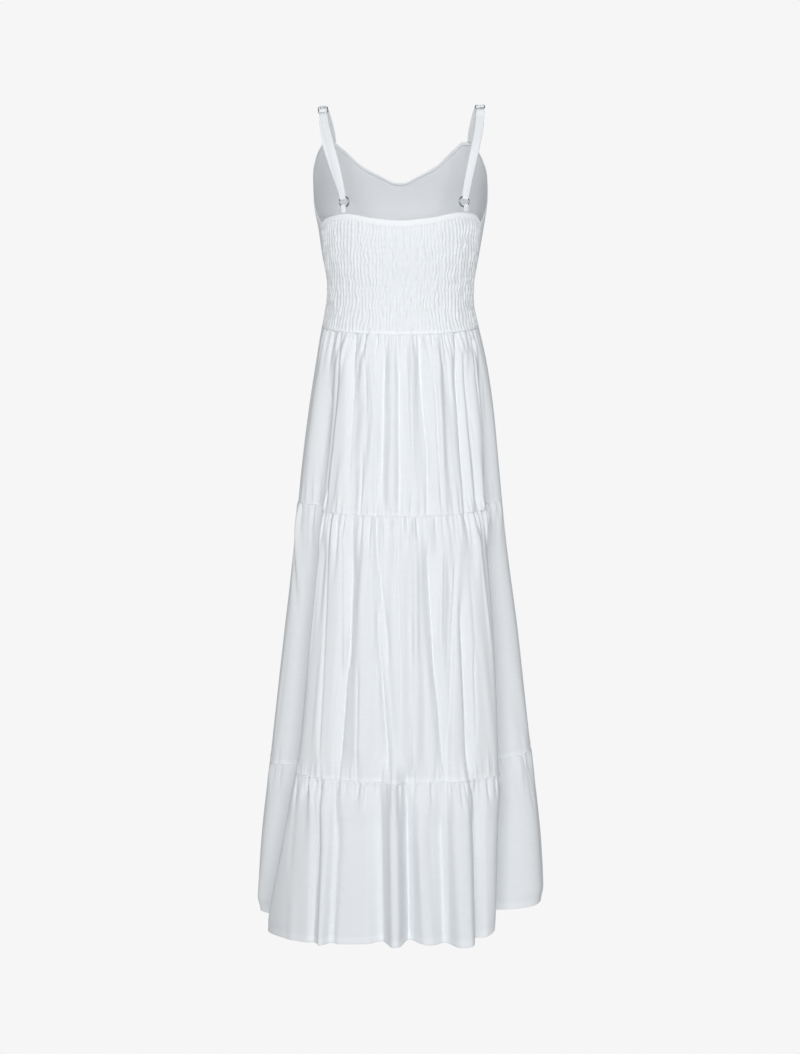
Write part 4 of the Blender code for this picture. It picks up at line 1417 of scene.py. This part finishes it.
def wire_tree():
    """Path to wire: a curve through the path, a round section, and a finish."""
    sizes = (("Radius", "NodeSocketFloat", 0.0011), ("Finish", "NodeSocketMaterial", None))
    tree, given, made = new_tree("path to wire", sizes)
    curve = add(tree, "GeometryNodeMeshToCurve")
    circle = add(tree, "GeometryNodeCurvePrimitiveCircle", Resolution=12)
    sweep = add(tree, "GeometryNodeCurveToMesh")
    sweep.inputs["Fill Caps"].default_value = True
    link_up(
        tree,
        (given, "Geometry", curve, 0),
        (given, "Radius", circle, "Radius"),
        (curve, 0, sweep, "Curve"),
        (circle, 0, sweep, "Profile Curve"),
    )
    return finish_tree(tree, given, made, sweep)


def set_input(modifier, label, value):
    """Sets a named input of a Geometry Nodes modifier by its socket's identifier."""
    for socket in modifier.node_group.interface.items_tree:
        if socket.item_type == "SOCKET" and socket.in_out == "INPUT" and socket.name == label:
            modifier[socket.identifier] = value
            return
    raise ValueError(f"the tree has no input named {label}")


def run_tree(name, mesh, tree, values):
    """Runs a tree on a mesh and keeps the result as a plain mesh object."""
    source = show(name, mesh)
    modifier = source.modifiers.new(name, "NODES")
    modifier.node_group = tree
    for label, value in values.items():
        set_input(modifier, label, value)
    evaluated = source.evaluated_get(bpy.context.evaluated_depsgraph_get())
    result = bpy.data.meshes.new_from_object(evaluated)
    source.modifiers.remove(modifier)
    source.data = result
    result.name = name
    return source


def path_mesh(name, paths, closed=False):
    """A mesh of plain edges through each list of points."""
    verts, edges = [], []
    for path in paths:
        first = len(verts)
        verts += (np.asarray(path) * MM).tolist()
        edges += [(first + k, first + k + 1) for k in range(len(path) - 1)]
        if closed:
            edges.append((first + len(path) - 1, first))
    mesh = bpy.data.meshes.new(name)
    mesh.from_pydata(verts, edges, [])
    return mesh


WIRE = wire_tree()
print("tree:", WIRE.name, [item.name for item in WIRE.interface.items_tree])

# %% Rings, slider frames and bars
RING_STEPS = 64
CORNER_RADIUS = 1.4
CORNER_STEPS = 6


def rounded_frame(width, length):
    """A closed path round a rectangle with round corners."""
    path = []
    for corner, (x, y) in enumerate(((1, 1), (-1, 1), (-1, -1), (1, -1))):
        centre = (x * (width / 2 - CORNER_RADIUS), y * (length / 2 - CORNER_RADIUS))
        for turn in np.linspace(0, math.pi / 2, CORNER_STEPS) + corner * math.pi / 2:
            path.append((centre[0] + CORNER_RADIUS * math.cos(turn), centre[1] + CORNER_RADIUS * math.sin(turn)))
    return np.array(path)


def on_strap(flat, point, across, tangent):
    """Flat points laid on a strap, with X across it and Y along it."""
    return point + flat[:, :1] * across + flat[:, 1:] * tangent


def join(name, pieces):
    """Several plain mesh objects made one."""
    for piece in bpy.context.selected_objects:
        piece.select_set(False)
    for piece in pieces:
        piece.select_set(True)
    bpy.context.view_layer.objects.active = pieces[0]
    bpy.ops.object.join()
    pieces[0].name = name
    pieces[0].data.name = name
    return pieces[0]


def slider(side, line):
    """A metal slider: a flat frame of wire with one bar across its middle."""
    point, tangent, across, _ = strap_frame(line, line.slider)
    long = 2 * SLIDER_BAR + 2 * SLIDER_SLOT
    outline = on_strap(rounded_frame(SLIDER_ACROSS - SLIDER_SIDE, long), point, across, tangent)
    bar = on_strap(np.array([[-SLIDER_ACROSS / 2 + 1, 0], [SLIDER_ACROSS / 2 - 1, 0]]), point, across, tangent)
    sizes = {"Radius": SLIDER_THICK / 2 * MM, "Finish": METAL}
    frame_part = run_tree(f"frame_{side}", path_mesh("frame", [outline], closed=True), WIRE, sizes)
    bar_part = run_tree(f"bar_{side}", path_mesh("bar", [bar]), WIRE, sizes)
    return join(f"slider_{side}_metal", [frame_part, bar_part])


def ring(side, line):
    """A metal ring between the strap and the tab, with its centre and outward direction."""
    point, tangent, across, up = strap_frame(line, line.length)
    centre = point + ring_lift() * up + RING_RADIUS * tangent
    turns = np.linspace(0, 2 * math.pi, RING_STEPS, endpoint=False)
    circle = RING_RADIUS * np.stack([np.cos(turns), np.sin(turns)], -1)
    sizes = {"Radius": RING_WIRE * MM, "Finish": METAL}
    path = path_mesh("ring", [on_strap(circle, centre, across, tangent)], closed=True)
    return run_tree(f"ring_{side}_metal", path, WIRE, sizes), centre, up


def tab(side, centre, up):
    """The folded loop of cloth from the top of the back band, round the bottom of the ring."""
    shares = TAB_FOOT_SHARE[side] + np.array([-TAB_FOOT_LEAN, 0, TAB_FOOT_LEAN])
    drops = band_drop(shares) - TAB_FOOT_GAP
    turns = back_turn(shares, BAND_TOP.drop[-1])
    before, foot, after = place(turns, drops, -0.7)
    foot_across = unit(after - before)
    foot_up = unit(place(turns, drops, 1.0)[1] - foot)
    down = unit(foot - centre - np.dot(foot - centre, up) * up)
    across = np.cross(down, up)
    fold = centre + (RING_RADIUS - TAB_LOOP_PAST) * down
    round_wire = loop_round(fold, -down, up, across, TAB_WIDTH)
    start = (foot + TAB_FOOT_SPREAD * foot_up, foot_across, TAB_WIDTH)
    end = (foot - TAB_FOOT_SPREAD * foot_up, foot_across, TAB_WIDTH)
    legs = []
    for corner, last in ((round_wire[0], start), (round_wire[-1], end)):
        leg = []
        for share in np.linspace(0.25, 1, 5):
            point = corner[0] + share * (last[0] - corner[0])
            leg.append((point, unit(across + share * (last[1] - across)), TAB_WIDTH))
        legs.append(leg)
    return ribbon(f"tab_{side}_cloth", legs[0][::-1] + round_wire + legs[1], STRAP_THICK, STRAP_CLOTH)


sliders, rings, tabs = {}, {}, {}
for side, line in strap_lines.items():
    sliders[side] = slider(side, line)
    rings[side], ring_centre, ring_up = ring(side, line)
    tabs[side] = tab(side, ring_centre, ring_up)
    print(f"{side}: ring {len(rings[side].data.polygons)} faces, slider {len(sliders[side].data.polygons)} faces")

# %% [markdown]
# ## Stitches
#
# A row of sewing is one small shape repeated along a line, so Geometry Nodes make it: resample the line at
# the stitch pitch, turn a little seed of thread along it at each point, and realise the copies. Each stitch
# has only a few dozen faces, because there are thousands. Each row lies on the cloth it holds.

# %% A tree that sews along a path


def value_socket(sockets, name):
    """The plain number's socket of a Random Value node, which has one of each kind."""
    return [socket for socket in sockets if socket.name == name and socket.type == "VALUE"][0]


def stitch_tree():
    """Path to stitches, with pitch, length, thickness, unevenness, seed and finish."""
    sizes = (
        ("Pitch", "NodeSocketFloat", 0.003),
        ("Length", "NodeSocketFloat", 0.0022),
        ("Thickness", "NodeSocketFloat", 0.0003),
        ("Unevenness", "NodeSocketFloat", 0.06),
        ("Seed", "NodeSocketInt", 1),
        ("Finish", "NodeSocketMaterial", None),
    )
    tree, given, made = new_tree("path to stitches", sizes)
    curve = add(tree, "GeometryNodeMeshToCurve")
    even = add(tree, "GeometryNodeResampleCurve", mode="LENGTH")
    tangent = add(tree, "GeometryNodeInputTangent")
    aim = add(tree, "FunctionNodeAlignEulerToVector", axis="X")
    seed_shape = add(tree, "GeometryNodeMeshUVSphere", Segments=6, Rings=4, Radius=0.5)
    stretch = add(tree, "ShaderNodeCombineXYZ")
    shaped = add(tree, "GeometryNodeTransform")
    low = add(tree, "ShaderNodeMath", operation="SUBTRACT")
    high = add(tree, "ShaderNodeMath", operation="ADD")
    for limit in (low, high):
        limit.inputs[0].default_value = 1.0
    chance = add(tree, "FunctionNodeRandomValue", data_type="FLOAT")
    copies = add(tree, "GeometryNodeInstanceOnPoints")
    link_up(
        tree,
        (given, "Geometry", curve, 0),
        (curve, 0, even, "Curve"),
        (given, "Pitch", even, "Length"),
        (tangent, 0, aim, "Vector"),
        (given, "Length", stretch, 0),
        (given, "Thickness", stretch, 1),
        (given, "Thickness", stretch, 2),
        (seed_shape, "Mesh", shaped, "Geometry"),
        (stretch, 0, shaped, "Scale"),
        (given, "Unevenness", low, 1),
        (given, "Unevenness", high, 1),
        (given, "Seed", chance, "Seed"),
        (even, 0, copies, "Points"),
        (shaped, 0, copies, "Instance"),
        (aim, 0, copies, "Rotation"),
    )
    tree.links.new(low.outputs[0], value_socket(chance.inputs, "Min"))
    tree.links.new(high.outputs[0], value_socket(chance.inputs, "Max"))
    tree.links.new(value_socket(chance.outputs, "Value"), copies.inputs["Scale"])
    return finish_tree(tree, given, made, copies)


STITCHES = stitch_tree()
STITCH_PITCH, STITCH_LENGTH, THREAD_THICK = 3.0, 2.3, 0.3
PROUD = 0.08


def sew(name, paths, seed, pitch=STITCH_PITCH, length=STITCH_LENGTH, thick=THREAD_THICK):
    """Rows of stitches along paths in millimetres."""
    sizes = {
        "Pitch": pitch * MM,
        "Length": length * MM,
        "Thickness": thick * MM,
        "Unevenness": 0.06,
        "Seed": seed,
        "Finish": THREAD,
    }
    return run_tree(name, path_mesh(name, paths), STITCHES, sizes)


# %% Rows on hem, neckline, armholes, band and elastic
NECK_STITCH_IN = 3.6
SEWING_STEPS = 700


def hem_path(front):
    """The line of the hem's stitching on one panel."""
    share = np.linspace(0.004, 0.996, SEWING_STEPS)
    drop = np.full_like(share, HEM - HEM_HEIGHT + 1)
    turn = panel_turn(share, drop, front)
    out = skirt_out(len(TIER_NAMES) - 1, share, turn, drop, front)
    return hung(turn, drop, out + PROUD)


def top_edge_path():
    """The line of stitching round the neckline, the strap points and the armholes."""
    from_front, top = front_line()
    drop = top + NECK_STITCH_IN / (WAIST - NECKLINE.drop[0]) * (WAIST - top)
    turn = front_turn(from_front, drop)
    return place(turn, drop, front_out(turn, drop) + PROUD)


def band_path():
    """The line of stitching over the band's lower edge, in the groove that it pulls in."""
    share = np.linspace(-0.99, 0.99, SEWING_STEPS)
    turn = back_turn(share, BAND_TOP.drop[-1] + BAND_GROOVE)
    return place(turn, band_drop(share) + BAND_GROOVE, BAND_GROOVE_OUT + PROUD)


def elastic_paths():
    """The rows of elastic thread across the shirred back."""
    share = np.linspace(-0.985, 0.985, SEWING_STEPS)
    top, end = shirring_top(share), shirring_top(1.0)
    parts = np.arange(1, ELASTIC_ROWS) / ELASTIC_ROWS
    return [place(back_turn(share, end + part * (WAIST - end)), top + part * (WAIST - top), -0.25) for part in parts]


sewing = {
    "skirt_hem_back": sew("hem_stitches_back", [hem_path(False)], 1),
    "skirt_hem_front": sew("hem_stitches_front", [hem_path(True)], 2),
    "bodice_front": sew("edge_stitches_front", [top_edge_path()], 3),
    "back_band": sew("band_stitches", [band_path()], 4),
    "bodice_back": sew("elastic_stitches", elastic_paths(), 5, pitch=2.9, length=2.2, thick=0.34),
}
for node, piece in sewing.items():
    print(node, "sewing:", len(piece.data.polygons), "faces")

# %% [markdown]
# ## Handing the pieces over
#
# Every piece rides on the one body, takes its finish from a slot and stands for its solid. Each sheet of
# cloth also says what size it was cut, in its UV map.


def hand_over(piece, node):
    """Puts a piece on the root body, in the place of its solid."""
    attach(piece, "root")
    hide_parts(node)


for node, piece in skirt_pieces.items():
    hand_over(piece, node)
hand_over(bodice_back, "bodice_back")
hand_over(bodice_front, "bodice_front")
hand_over(band, "back_band")
for side in strap_lines:
    hand_over(straps[side], f"strap_{side}")
    hand_over(tabs[side], f"tab_{side}")
    hand_over(sliders[side], f"slider_{side}")
    hand_over(rings[side], f"ring_{side}")
for node, piece in sewing.items():
    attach(piece, "root")
print("pieces handed over:", len(skirt_pieces) + 3 + 8 + len(sewing))
